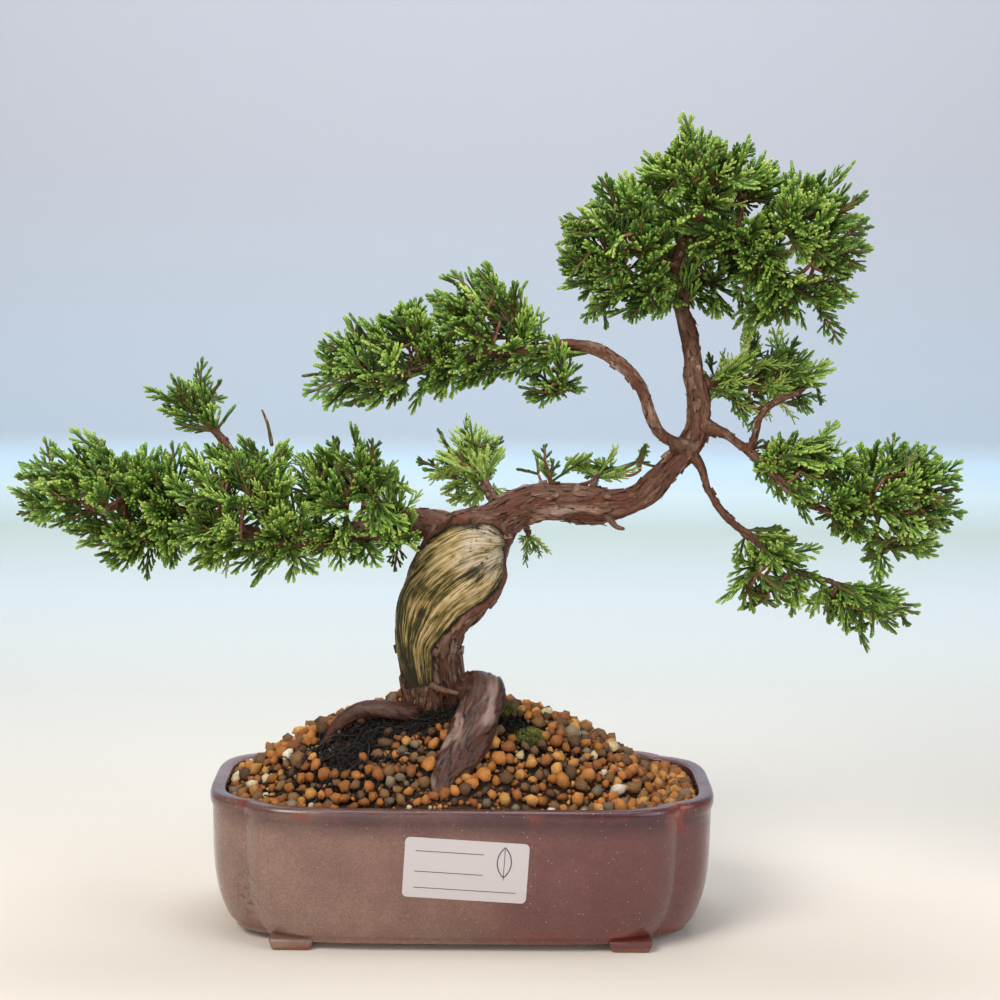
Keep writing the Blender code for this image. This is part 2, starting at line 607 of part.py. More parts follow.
def make_roots():
    rooms = []
    for name, points in ROOTS.items():
        route = root_route(points)
        root = add_part(name, tube_mesh(name, route), "root_bark")
        combine(root, bpy.data.objects["trunk_room"])
        rooms.append(add_cutter(f"{name}_room", tube_mesh(f"{name}_room", route, GAP)))
    return rooms


SMALL_MASS = 13.5 * MM          # half size up to which a coarser ball is enough


def lobed_mesh(name, lobes, grow=0.0):
    """A ball whose every point is pushed out to the furthest of the lobes in its direction."""
    middle = sum((Vector(place) for place, halves in lobes), Vector()) / len(lobes)
    widest = max(max(halves) for place, halves in lobes)
    form = bmesh.new()
    bmesh.ops.create_icosphere(form, subdivisions=3 if widest > SMALL_MASS else 2, radius=1)
    for vertex in form.verts:
        way = vertex.co.normalized()
        reach = 0.0
        for place, halves in lobes:
            start = [(middle - place)[axis] / (halves[axis] + grow) for axis in range(3)]
            step = [way[axis] / (halves[axis] + grow) for axis in range(3)]
            a = sum(value * value for value in step)
            b = sum(one * other for one, other in zip(start, step))
            c = sum(value * value for value in start) - 1
            inside = b * b - a * c
            if inside > 0:
                reach = max(reach, (-b + math.sqrt(inside)) / a)
        vertex.co = middle + way * reach
    return finish_mesh(name, form)


def tree_lobes(lobes):
    scale = Vector((spread, spread, rise)) * MM
    return [(on_tree(x, y, z), (a * scale.x, b * scale.y, c * scale.z)) for x, y, z, a, b, c in lobes]


def make_foliage(stem_rooms):
    """Foliage masses, cut clear of every stem that runs into them and of each other."""
    earlier = []
    for name, drawn_lobes in FOLIAGE.items():
        lobes = tree_lobes(drawn_lobes)
        mass = add_part(name, lobed_mesh(name, lobes), "foliage")
        cut_all(mass, stem_rooms + earlier)
        earlier.append(add_cutter(f"{name}_room", lobed_mesh(f"{name}_room", lobes, GAP)))


def make_moss(neighbours):
    """Moss cushions sunk in the mound, cut clear of the roots and trunk beside them."""
    rooms = []
    for name, (x, y, lift, *halves) in MOSS.items():
        place = over_soil(x, y, lift)
        sizes = [half * MM for half in halves]
        cushion = add_part(name, lobed_mesh(name, [(place, sizes)]), "moss")
        rooms.append(add_cutter(f"{name}_room", lobed_mesh(f"{name}_room", [(place, sizes)], GAP)))
        cut_all(cushion, neighbours)
    return rooms


def make_label():
    """A small stuck-on plant label on the pot's front, tilted a little."""
    form = bmesh.new()
    bmesh.ops.create_cube(form, size=1)
    bmesh.ops.scale(form, vec=(LABEL_WIDTH, LABEL_THICKNESS, LABEL_HEIGHT), verts=form.verts)
    corner_edges = [edge for edge in form.edges if abs(edge.verts[0].co.y - edge.verts[1].co.y) > 0]
    bmesh.ops.bevel(form, geom=corner_edges, offset=1.5 * MM, segments=3, profile=0.5, affect="EDGES")
    label = add_part("label", finish_mesh("label", form), "paper")
    wall_y = -(POT_DEPTH / 2 - 0.9 * MM)
    label.location = (LABEL_X, wall_y - GAP - LABEL_THICKNESS / 2, FOOT_HEIGHT + LABEL_ABOVE_FLOOR)
    label.rotation_euler = (0, math.radians(LABEL_TILT), 0)


def build():
    make_pot()
    for side, x in drain_places():
        make_drain_mesh(side, x)
    wire_rooms = [bpy.data.objects[name] for name in make_wires()]
    stem_rooms = make_stems()
    root_rooms = make_roots()
    moss_rooms = make_moss(stem_rooms[:1] + root_rooms)
    buried = wire_rooms + stem_rooms[:1] + root_rooms + moss_rooms
    cut_all(add_part("root_ball", root_ball_mesh("root_ball"), "peat"), buried)
    ball_room = add_cutter("root_ball_room", root_ball_mesh("root_ball_room", GAP))
    recesses = [mesh_recess(side, x) for side, x in drain_places()]
    cut_all(make_soil_bed(), [ball_room, *recesses, *buried])
    make_foliage(stem_rooms)
    make_label()


build()
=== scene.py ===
import json
import math
import random
from functools import partial

import bmesh
import bpy
import numpy as np
from mathutils import Matrix, Vector, noise
from mathutils.bvhtree import BVHTree

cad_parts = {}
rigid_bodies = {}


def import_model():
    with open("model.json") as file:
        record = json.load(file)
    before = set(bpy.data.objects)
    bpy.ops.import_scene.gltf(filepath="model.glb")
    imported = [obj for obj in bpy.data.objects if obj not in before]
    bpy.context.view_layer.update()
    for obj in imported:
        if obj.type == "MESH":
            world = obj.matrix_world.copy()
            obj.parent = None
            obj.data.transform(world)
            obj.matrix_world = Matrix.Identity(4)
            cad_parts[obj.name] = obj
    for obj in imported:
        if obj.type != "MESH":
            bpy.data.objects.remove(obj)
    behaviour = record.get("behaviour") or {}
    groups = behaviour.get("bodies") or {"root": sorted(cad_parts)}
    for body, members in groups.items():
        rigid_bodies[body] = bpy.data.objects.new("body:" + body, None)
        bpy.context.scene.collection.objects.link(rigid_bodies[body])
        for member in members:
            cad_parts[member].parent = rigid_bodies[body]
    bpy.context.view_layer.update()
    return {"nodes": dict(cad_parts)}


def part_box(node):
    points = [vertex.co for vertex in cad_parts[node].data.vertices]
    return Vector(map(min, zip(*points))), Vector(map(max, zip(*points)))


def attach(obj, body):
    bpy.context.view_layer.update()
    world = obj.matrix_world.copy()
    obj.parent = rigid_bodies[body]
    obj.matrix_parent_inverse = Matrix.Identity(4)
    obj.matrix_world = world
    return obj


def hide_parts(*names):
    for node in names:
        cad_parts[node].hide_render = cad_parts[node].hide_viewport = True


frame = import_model()
nodes = frame["nodes"]
bpy.ops.object.select_all(action="DESELECT")
noise.seed_set(7)  # noise_vector is shifted by it, and otherwise by the time of day
print("frame loaded:", len(nodes), "nodes")

mm = 0.001
potLow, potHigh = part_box("pot")
potMiddle = (potLow + potHigh) / 2
rimHeight = potHigh.z


cameraSetup = {"lens": 86.4, "back": 794.5 * mm, "height": 246.9 * mm, "turn": 0.83, "tilt": 7.38, "roll": 0.70,
               "nearClip": 0.02}
# A sheet that runs back along the floor and up a wall. Its colours follow it from the front to the top.
stageSetup = {"size": 6, "wallBack": 1.6, "cornerRadius": 0.9, "cornerSteps": 24, "sweepLength": 2.4, "sweep": (
    (0, "#DCD4CA"), (0.15, "#C5C8C5"), (0.27, "#C1CCD1"), (0.39, "#B9C8C6"), (0.48, "#CFE3EA"), (0.57, "#CFE9FA"),
    (0.66, "#CAD9E6"), (0.78, "#C9CCD5")), "air": "#E9EEF6", "airStrength": 0.45}
lights = {  # each one's place, size, watts, colour and the place it aims at
    "keySoftbox": ((-0.8, -1.1, 1.2), 0.9, 19, "#FFF9F1", (0, 0, 0.14)),
    "fillSoftbox": ((1.25, -0.9, 0.75), 1.2, 9, "#F2F6FF", (0, 0, 0.12)),
    "topSoftbox": ((0.1, 0.1, 1.5), 1.2, 12, "#FFFFFF", (0, 0, 0.10)),
    "lowSoftbox": ((-0.3, -1.6, 0.35), 0.9, 3, "#FFFFFF", (0, 0, 0.06)),
    "wallSoftbox": ((0, 0.45, 1.25), 1.3, 11, "#F4F8FF", (0, 1.6, 0.25)),
}


def linearColour(hexColour):
    channels = [int(hexColour[i:i + 2], 16) / 255 for i in (1, 3, 5)]
    straight = [c / 12.92 if c <= 0.04045 else ((c + 0.055) / 1.055) ** 2.4 for c in channels]
    return (*straight, 1)


def mathNode(operation, swapped=False):
    def work(*values):
        tree = next(value.tree for value in values if isinstance(value, Signal))
        return addNode(tree, "Math", *(values[::-1] if swapped else values), operation=operation)
    return work


class Signal:  # what a node gives: arithmetic on it adds the Math nodes that work it out
    def __init__(self, tree, socket):
        self.tree, self.socket = tree, socket

    __add__, __mul__, __abs__ = mathNode("ADD"), mathNode("MULTIPLY"), mathNode("ABSOLUTE")
    __sub__, __rsub__ = mathNode("SUBTRACT"), mathNode("SUBTRACT", swapped=True)
    __lt__, __gt__, larger = mathNode("LESS_THAN"), mathNode("GREATER_THAN"), mathNode("MAXIMUM")
    root, sine = mathNode("SQRT"), mathNode("SINE")


# For each kind of node: the sockets that its values fill, in order, and the one that is read.
nodeSockets = {
    "Attribute": ((), "Fac"), "Bump": (("Height", "Strength", "Distance"), "Normal"),
    "CombineColor": (("Red", "Green", "Blue"), "Color"), "Mapping": (("Vector", "Scale", "Location"), "Vector"),
    "MapRange": (("Value", "From Min", "From Max", "To Min", "To Max"), "Result"), "Math": ((0, 1), 0),
    "Mix": ((0, 6, 7), 2), "SeparateColor": (("Color",), "Red"), "SeparateXYZ": (("Vector",), "X"),
    "TexCoord": ((), "Object"), "TexNoise": (("Vector", "Scale", "Detail", "Roughness"), "Fac"),
    "TexVoronoi": (("Vector", "Scale"), "Distance"), "ValToRGB": (("Fac",), "Color"), "VectorMath": ((0, 1), 0),
}


def addNode(tree, kind, *values, read=None, stops=(), **settings):
    made = tree.nodes.new("ShaderNode" + kind)
    if kind == "Mix":
        made.data_type = "RGBA"
    for name, value in settings.items():
        setattr(made, name, value)
    if stops:  # a ramp's positions and colours
        elements = made.color_ramp.elements
        while len(elements) < len(stops):
            elements.new(0.5)
        for element, (position, colour) in zip(elements, stops):
            element.position, element.color = position, linearColour(colour)
    sockets, usual = nodeSockets[kind]
    for socket, value in zip(sockets, values):
        if isinstance(value, Signal):
            tree.links.new(value.socket, made.inputs[socket])
        else:
            made.inputs[socket].default_value = linearColour(value) if isinstance(value, str) else value
    if isinstance(read, tuple):
        return [Signal(tree, made.outputs[name]) for name in read]
    return Signal(tree, made.outputs[read or usual])


def newMaterial(name, **constants):  # a material, what adds a node to it, and what links signals to its shader
    made = bpy.data.materials.new(name)
    made.use_nodes = True
    tree = made.node_tree
    inputs = tree.nodes["Principled BSDF"].inputs
    for socket, value in constants.items():
        inputs[socket.replace("_", " ")].default_value = value

    def feed(**signals):
        for socket, signal in signals.items():
            tree.links.new(signal.socket, inputs[socket.replace("_", " ")])

    return made, partial(addNode, tree), feed


def makeCamera():
    camera = bpy.data.objects.new("camera", bpy.data.cameras.new("camera"))
    bpy.context.scene.collection.objects.link(camera)
    camera.data.lens = cameraSetup["lens"]
    camera.data.clip_start = cameraSetup["nearClip"]
    turn, tilt, roll = (math.radians(cameraSetup[key]) for key in ("turn", "tilt", "roll"))
    forward = Vector((math.sin(turn) * math.cos(tilt), math.cos(turn) * math.cos(tilt), -math.sin(tilt)))
    level = Vector((math.cos(turn), -math.sin(turn), 0))
    above = level.cross(forward)
    right = level * math.cos(roll) + above * math.sin(roll)
    up = above * math.cos(roll) - level * math.sin(roll)
    rotation = Matrix((right, up, -forward)).transposed().to_4x4()
    place = Vector((potMiddle.x, potMiddle.y - cameraSetup["back"], cameraSetup["height"]))
    camera.matrix_world = Matrix.Translation(place) @ rotation
    bpy.context.scene.camera = camera


def makeStage():
    size = stageSetup["size"]
    bpy.ops.mesh.primitive_plane_add(size=size, location=(0, stageSetup["wallBack"] - size / 2, 0))
    floor = bpy.context.object
    floor.name = "floor"

    def selectEdges(isWanted):
        mesh = bmesh.from_edit_mesh(floor.data)
        for edge in mesh.edges:
            edge.select_set(all(isWanted(vertex.co) for vertex in edge.verts))
        bmesh.update_edit_mesh(floor.data)

    bpy.ops.object.mode_set(mode="EDIT")  # the back edge is drawn up into a wall, then its corner is rounded
    selectEdges(lambda place: place.y > size / 2 - 0.01)
    bpy.ops.mesh.extrude_region_move(TRANSFORM_OT_translate={"value": (0, 0, size / 2)})
    selectEdges(lambda place: place.y > size / 2 - 0.01 and abs(place.z) < 0.01)
    bpy.ops.mesh.bevel(offset=stageSetup["cornerRadius"], segments=stageSetup["cornerSteps"])
    bpy.ops.object.mode_set(mode="OBJECT")
    bpy.ops.object.shade_smooth()
    bpy.ops.object.transform_apply(location=True, rotation=True, scale=True)
    # Matt card: no gloss at all.
    paper, add, feed = newMaterial("seamlessBackgroundPaper", Roughness=0.9, Specular_IOR_Level=0.15)
    y, z = add("SeparateXYZ", add("TexCoord"), read=("Y", "Z"))
    along = add("MapRange", y + z, 0, stageSetup["sweepLength"])
    feed(Base_Color=add("ValToRGB", along, stops=stageSetup["sweep"]))
    floor.data.materials.append(paper)


def makeLights():
    for name, (place, size, watts, colour, aim) in lights.items():
        lamp = bpy.data.lights.new(name, "AREA")
        lamp.shape = "DISK"
        lamp.size = size
        lamp.energy = watts
        lamp.color = linearColour(colour)[:3]
        softbox = bpy.data.objects.new(name, lamp)
        bpy.context.scene.collection.objects.link(softbox)
        softbox.location = place
        softbox.rotation_euler = (Vector(aim) - Vector(place)).to_track_quat("-Z", "Y").to_euler()
    world = bpy.data.worlds.new("paleRoom")
    bpy.context.scene.world = world
    world.use_nodes = True
    air = world.node_tree.nodes["Background"].inputs
    air["Color"].default_value = linearColour(stageSetup["air"])
    air["Strength"].default_value = stageSetup["airStrength"]
    bpy.context.scene.view_settings.view_transform = "Standard"


makeCamera()
makeStage()
makeLights()
print("camera, floor and lights made")


def setAttribute(mesh, name, values, kind="FLOAT"):
    made = mesh.attributes.get(name) or mesh.attributes.new(name, kind, "POINT")
    key = {"FLOAT": "value", "FLOAT_VECTOR": "vector", "FLOAT_COLOR": "color"}[kind]
    made.data.foreach_set(key, np.asarray(values, np.float32).ravel())


def finishPiece(piece, slotName, *replaced):
    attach(piece, "root")
    if replaced:
        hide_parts(*replaced)


def smoothStep(low, high, value):
    t = np.clip((np.asarray(value, float) - low) / (high - low), 0, 1)
    return t * t * (3 - 2 * t)


def noiseAt(points, scale, seed=0.0):
    shift = Vector((seed * 13.7, seed * 5.1, seed * 9.3))
    return np.array([noise.noise(Vector(p) * scale + shift) for p in points])


def ridgesAt(points, scale, seed=0.0):
    return 1 - 2 * np.abs(noiseAt(points, scale, seed))


def smoothPath(points, steps):
    padded = [points[0], *points, points[-1]]
    route = []
    for before, start, end, after in zip(padded, padded[1:], padded[2:], padded[3:]):
        for step in range(steps):
            t = step / steps
            route.append(0.5 * (2 * start + (end - before) * t + (2 * before - 5 * start + 4 * end - after) * t * t
                                + (3 * start - before - 3 * end + after) * t ** 3))
    route.append(points[-1])
    return route


def cadTree(node):
    mesh = nodes[node].data
    return BVHTree.FromPolygons([v.co for v in mesh.vertices], [tuple(p.vertices) for p in mesh.polygons])


# The middle line of a stem's or root's solid: distances are walked over its skin from the end where
# startsAt is true, or from either end, and each slice of equal distance gives a middle and a radius.
def centreLineOf(node, startsAt=None, step=2.5 * mm):
    form = bmesh.new()
    form.from_mesh(nodes[node].data)
    bmesh.ops.remove_doubles(form, verts=form.verts, dist=0.01 * mm)
    points = np.array([vertex.co for vertex in form.verts])
    edges = np.array([[vertex.index for vertex in edge.verts] for edge in form.edges])
    form.free()
    lengths = np.linalg.norm(points[edges[:, 0]] - points[edges[:, 1]], axis=1)

    def walkFrom(first):
        walked = np.where(first, 0.0, 1e9)
        while True:
            before = walked.copy()
            np.minimum.at(walked, edges[:, 0], walked[edges[:, 1]] + lengths)
            np.minimum.at(walked, edges[:, 1], walked[edges[:, 0]] + lengths)
            if np.array_equal(before, walked):
                return walked

    if startsAt:
        walked = walkFrom([startsAt(Vector(p)) for p in points])
    else:
        end = points[walkFrom(np.arange(len(points)) == 0).argmax()]
        walked = walkFrom(np.linalg.norm(points - end, axis=1) < 1.2 * mm)
    middles, radii = [], []
    for level in np.arange(step * 0.6, walked.max() - step * 0.3, step):
        a, b = walked[edges[:, 0]], walked[edges[:, 1]]
        crossed = (a - level) * (b - level) < 0
        share = ((level - a[crossed]) / (b[crossed] - a[crossed]))[:, None]
        cut = points[edges[crossed, 0]] * (1 - share) + points[edges[crossed, 1]] * share
        middles.append(cut.mean(axis=0))
        radii.append(np.linalg.norm(cut - cut.mean(axis=0), axis=1).mean())
    return np.array(middles), np.array(radii), points[walked.argmax()]


def soilHeight(x, y):  # the mound's height at a place measured from the pot's middle
    off = 1 - ((x - soil["moundX"]) / soil["halfWidth"]) ** 2 - (y / soil["halfDepth"]) ** 2
    return rimHeight - soil["belowRim"] + soil["mound"] * max(0, off)


soil = {"belowRim": 3.5 * mm, "mound": 30 * mm, "moundX": -4 * mm, "halfWidth": 74 * mm, "halfDepth": 42 * mm}
treeFoot = Vector((potMiddle.x - 10 * mm, potMiddle.y + 2 * mm, soilHeight(-10 * mm, 2 * mm)))


class Heap:  # vertices, faces and per-vertex values of many small shapes, made into one mesh at the end
    def __init__(self):
        self.points, self.quads, self.triangles, self.values, self.count = [], [], [], {}, 0

    def add(self, points, quads, triangles, **values):
        self.points.append(points)
        self.quads.append(quads + self.count)
        self.triangles.append(triangles + self.count)
        self.count += len(points)
        for name, value in values.items():
            kept = np.asarray(value, np.float32)
            self.values.setdefault(name, []).append(np.full(len(points), kept) if kept.ndim == 0 else kept)

    def join(self):
        quads = np.concatenate(self.quads).reshape(-1, 4)
        triangles = np.concatenate(self.triangles).reshape(-1, 3)
        return np.concatenate(self.points), quads, triangles, {k: np.concatenate(v) for k, v in self.values.items()}

    def build(self, name, material):
        points, quads, triangles, values = self.join()
        mesh = bpy.data.meshes.new(name)
        mesh.vertices.add(len(points))
        mesh.vertices.foreach_set("co", points.astype(np.float32).ravel())
        corners = np.concatenate([quads.ravel(), triangles.ravel()]).astype(np.int32)
        mesh.loops.add(len(corners))
        mesh.loops.foreach_set("vertex_index", corners)
        firsts = np.concatenate([np.arange(len(quads)) * 4, len(quads) * 4 + np.arange(len(triangles)) * 3])
        mesh.polygons.add(len(firsts))
        mesh.polygons.foreach_set("loop_start", firsts.astype(np.int32))
        mesh.update(calc_edges=True)
        for key, value in values.items():
            setAttribute(mesh, key, value, "FLOAT_VECTOR" if value.ndim == 2 else "FLOAT")
        mesh.shade_smooth()
        mesh.materials.append(material)
        piece = bpy.data.objects.new(name, mesh)
        bpy.context.scene.collection.objects.link(piece)
        return piece


def skinFaces(rings, around):  # four-sided faces between rings of points, and a fan to a point at each end
    rows = np.arange(rings - 1)[:, None] * around
    here = np.arange(around)[None, :]
    after = (here + 1) % around
    quads = np.stack([rows + here, rows + after, rows + around + after, rows + around + here], -1).reshape(-1, 4)
    last, first = (rings - 1) * around, rings * around
    caps = np.concatenate([np.stack([after[0], here[0], np.full(around, first)], -1),
                           np.stack([last + here[0], last + after[0], np.full(around, first + 1)], -1)])
    return quads, caps


def framesAlong(points):  # two unit directions across a line at each of its points, with no sudden turn
    tangents = np.gradient(points, axis=0)
    tangents /= np.linalg.norm(tangents, axis=1)[:, None] + 1e-12
    side = np.cross(tangents[0], (0, 0, 1) if abs(tangents[0][2]) < 0.9 else (0, 1, 0))
    sides = []
    for tangent in tangents:
        side = side - tangent * np.dot(side, tangent)
        side = side / np.linalg.norm(side)
        sides.append(side)
    sides = np.array(sides)
    return tangents, sides, np.cross(tangents, sides)


def ringsAbout(sides, ups, around):
    angles = np.arange(around) / around * math.tau
    return angles, sides[:, None] * np.cos(angles)[None, :, None] + ups[:, None] * np.sin(angles)[None, :, None]


def tubeSkin(points, radii, around):  # a closed tube: rings about a line, a point at each end
    points = np.array([tuple(point) for point in points], float)
    radii = np.asarray(radii, float)
    tangents, sides, ups = framesAlong(points)
    out = ringsAbout(sides, ups, around)[1]
    skin = (points[:, None] + out * radii[:, None, None]).reshape(-1, 3)
    ends = np.array([points[0] - tangents[0] * radii[0] * 0.5, points[-1] + tangents[-1] * radii[-1] * 0.8])
    return np.concatenate([skin, ends]), *skinFaces(len(points), around)


def alongTube(values, around):  # one value a ring, spread over a tube's points
    values = np.asarray(values, float)
    return np.concatenate([np.repeat(values, around, axis=0), values[:1], values[-1:]])


# The first bark colour is painted shade, for the cracks between the bark's layers.
barkColours = {
    "crevice": "#1D120C", "deep": "#4A2E22", "mid": "#6B4B39", "pale": "#8D6A57", "silver": "#B59D90",
    "fresh": "#744433", "deadDark": "#2A2610", "deadOlive": "#6E6532", "deadTan": "#A98C57", "deadPale": "#D6C398",
}
# The roots' crevice colour is painted shade, and their bloom colour is also a painted highlight.
rootColours = {"crevice": "#170E0B", "deep": "#331D16", "mid": "#573428", "bloom": "#9E837A"}


def grainNoise(add, scale, along, detail=4.0, rough=0.6, seed=0.0):  # a pattern drawn out along the grain
    grain = add("Attribute", attribute_name="grain", read="Vector")
    return add("TexNoise", add("Mapping", grain, (along, 1, 1), (seed, seed, 0)), scale, detail, rough)


def makeBarkMaterial(smoothness):  # peeling juniper bark, with bared and weathered wood where dead is 1
    bark, add, feed = newMaterial("peelingJuniperBark", Specular_IOR_Level=0.35)
    crevice, deep, mid, pale, silver, fresh, deadDark, deadOlive, deadTan, deadPale = barkColours.values()
    relief, layers, dead, bleached, mossy, young = (add("Attribute", attribute_name=name) for name in (
        "relief", "layer", "dead", "bleached", "mossy", "young"))
    fibre = grainNoise(add, 1.5, 0.16)
    patches = grainNoise(add, 0.16, 0.5, 2.0, 0.5, 4.0)
    plates = add("ValToRGB", layers * 0.8 + (fibre - 0.28) * 0.5, stops=[
        (0.08, fresh), (0.36, mid), (0.64, pale), (1.0, silver)])
    youth = add("MapRange", patches + young * smoothness, 0.5, 0.72)
    coloured = add("Mix", youth * 0.7, plates, add("Mix", fibre, deep, fresh))
    # Where the relief value is low, at open cracks and at the foot of each step between layers, the colour turns to
    # painted crevice shade.
    coloured = add("Mix", add("MapRange", relief + (fibre - 0.5) * 0.5, 0.12, 0.5), crevice, coloured)
    scurf = add("MapRange", grainNoise(add, 1.0, 0.45, 5.0, 0.7, 6.0), 0.36, 0.64, 0.62, 1.25)
    coloured = add("Mix", 1.0, coloured, add("CombineColor", scurf, scurf, scurf), blend_type="MULTIPLY")
    streaks = grainNoise(add, 0.9, 0.05, 4.0, 0.6, 9.0) * 0.5 + grainNoise(add, 2.6, 0.05, 4.0, 0.65, 14.0) * 0.5
    # The bared wood follows the same value: darker in its grooves and cracks as painted shade, over its real dark
    # streaks and moss.
    lines = (streaks - 0.5) * 4.2 + relief * 0.95 - (mossy + 0.45) * 0.34
    wood = add("ValToRGB", lines, stops=[(0.08, deadDark), (0.34, deadOlive), (0.60, deadTan), (0.96, deadPale)])
    greys = add("ValToRGB", lines + 0.2, stops=[(0.12, "#4A4030"), (0.4, "#A39A88"), (0.8, "#D2CCC2")])
    feed(Base_Color=add("Mix", dead, coloured, add("Mix", bleached * 0.5, wood, greys)),
         Roughness=add("MapRange", fibre, 0, 1, 0.55, 0.85),
         Normal=add("Bump", fibre + grainNoise(add, 3.2, 0.12, 3.0, 0.6, 2.0), 0.75, 0.35 * mm))
    return bark


def makeRootMaterial():  # damp old root bark: dark, with painted shade in its crevices, and a dull lilac bloom where it was scraped that is also a painted highlight on the faces turned up and to the front
    bark, add, feed = newMaterial("dampRootBark", Roughness=0.42)
    relief, bleached = (add("Attribute", attribute_name=name) for name in ("relief", "bleached"))
    fibre = grainNoise(add, 1.6, 0.2)
    plates = add("ValToRGB", relief * 0.6 + fibre * 0.45, stops=[
        (0.25, rootColours["crevice"]), (0.45, rootColours["deep"]), (0.75, rootColours["mid"])])
    bloom = add("MapRange", grainNoise(add, 0.15, 0.45, 2.0, 0.5, 7.0) * bleached, 0.54, 0.64)
    feed(Base_Color=add("Mix", bloom * 0.75, plates, rootColours["bloom"]), Normal=add("Bump", fibre, 0.7, 0.3 * mm))
    return bark


oldBark = makeBarkMaterial(0.22)
rootBark = makeRootMaterial()

# What each stem and root grows from, how many points go round it, and how rough and how young it is.
stems = {
    "limb_left": {"from": "trunk", "around": 44, "rough": 0.8, "young": 0.3},
    "limb_left_rise": {"from": "limb_left", "around": 26, "rough": 0.6, "young": 0.5},
    "limb_middle": {"from": "trunk", "around": 34, "rough": 0.9, "young": 0.2},
    "limb_apex_right": {"from": "trunk", "around": 30, "rough": 0.5, "young": 0.9},
    "limb_apex_left": {"from": "trunk", "around": 22, "rough": 0.5, "young": 0.9},
    "limb_right": {"from": "trunk", "around": 32, "rough": 0.9, "young": 0.2},
    "limb_right_fork": {"from": "limb_right", "around": 22, "rough": 0.8, "young": 0.6},
    "limb_right_back": {"from": "trunk", "around": 26, "rough": 0.7, "young": 0.6},
    "limb_right_low": {"from": "trunk", "around": 26, "rough": 0.8, "young": 0.9},
    "limb_back": {"from": "trunk", "around": 30, "rough": 0.8, "young": 0.3},
    "limb_back_right": {"from": "trunk", "around": 24, "rough": 0.6, "young": 0.6},
    "sprout_below": {"from": "trunk", "around": 18, "rough": 0.5, "young": 0.9},
}
roots = {
    "root_left": {"around": 44, "rough": 0.8, "bleached": 0.8},
    "root_front": {"around": 84, "rough": 1.3, "bleached": 1.0},
    "root_back": {"around": 60, "rough": 1.1, "bleached": 0.7},
    "root_left_low": {"around": 22, "rough": 0.5, "bleached": 0.0},
    "root_left_fan": {"around": 34, "rough": 0.8, "bleached": 0.0},
    "root_right": {"around": 30, "rough": 0.7, "bleached": 0.3},
    "root_right_thin": {"around": 20, "rough": 0.5, "bleached": 0.0},
}
trunkLook = {"around": 180, "spacing": 0.64 * mm, "lip": 1.5 * mm, "sunk": 0.7 * mm, "flute": 0.95 * mm,
             "groove": 0.5 * mm, "rough": 1.0, "knob": (11, -4, 21, 2.6), "flakes": 420}
# The bared wood's outline on the front of the trunk: across and up in mm from the tree's foot.
bareWood = [(5.4, 60.2), (11.6, 61.9), (18.2, 60.3), (22.7, 57), (24.2, 52.9), (24.1, 45.4), (21.7, 39.5),
            (16.8, 35.3), (8.6, 31), (2.9, 23.4), (-0.8, 19.1), (-0.7, 8.2), (-9.5, 5), (-13.5, 14), (-15.8, 25.8),
            (-16.6, 32.5), (-16.2, 39.2), (-12, 46), (-5, 54)]
grainEdges = (bareWood[12:] + bareWood[:4], bareWood[11:4:-1])  # the grain runs between these two sides
# A smooth rib up the bared wood.
barkTongue = [(17, 41), (12, 39.5), (8.5, 38), (2.8, 34.3), (-1.3, 29.2), (-2.5, 22.5)]


def alongEdge(edge, x, z):  # how far each place is from a line of points, and how far along it the nearest one is
    nearest, walked, travelled = np.full(len(x), 1e9), np.zeros(len(x)), 0.0
    for (ax, az), (bx, bz) in zip(edge, edge[1:]):
        long = math.hypot(bx - ax, bz - az)
        along = np.clip(((x - ax) * (bx - ax) + (z - az) * (bz - az)) / long ** 2, 0, 1)
        away = np.hypot(x - ax - along * (bx - ax), z - az - along * (bz - az))
        walked = np.where(away < nearest, travelled + along * long, walked)
        nearest = np.minimum(nearest, away)
        travelled += long
    return nearest, walked


def flowAlong(edge, x, z):  # a smooth distance from a line of points, and a smooth place along it
    steps = [math.hypot(bx - ax, bz - az) for (ax, az), (bx, bz) in zip(edge, edge[1:])]
    travelled = np.concatenate([[0], np.cumsum(steps)])
    spots = np.linspace(0, travelled[-1], int(travelled[-1] / 0.7))
    edgeX, edgeZ = (np.interp(spots, travelled, [point[axis] for point in edge]) for axis in (0, 1))
    apart = (x[:, None] - edgeX) ** 2 + (z[:, None] - edgeZ) ** 2 + 0.2
    weights = apart ** -2.0
    walked = (weights * spots).sum(axis=1) / weights.sum(axis=1)
    return weights.sum(axis=1) ** (-1 / 3), walked


def edgeDistance(x, z):  # how far each place lies outside the bared wood's outline (inside is below zero)
    closed = bareWood + bareWood[:1]
    nearest = alongEdge(closed, x, z)[0]
    inside = np.zeros(len(x), bool)
    for (ax, az), (bx, bz) in zip(closed, closed[1:]):
        crossing = ((az > z) != (bz > z)) & (x < (bx - ax) * (z - az) / (bz - az + 1e-12) + ax)
        inside ^= crossing
    return np.where(inside, -nearest, nearest)


def terraces(values, steps):  # flat layers with steep edges between them, and where those edges are
    scaled = values * steps
    part = scaled - np.floor(scaled)
    return (np.floor(scaled) + smoothStep(0.84, 1, part)) / steps, np.exp(-((part - 0.88) / 0.07) ** 2)


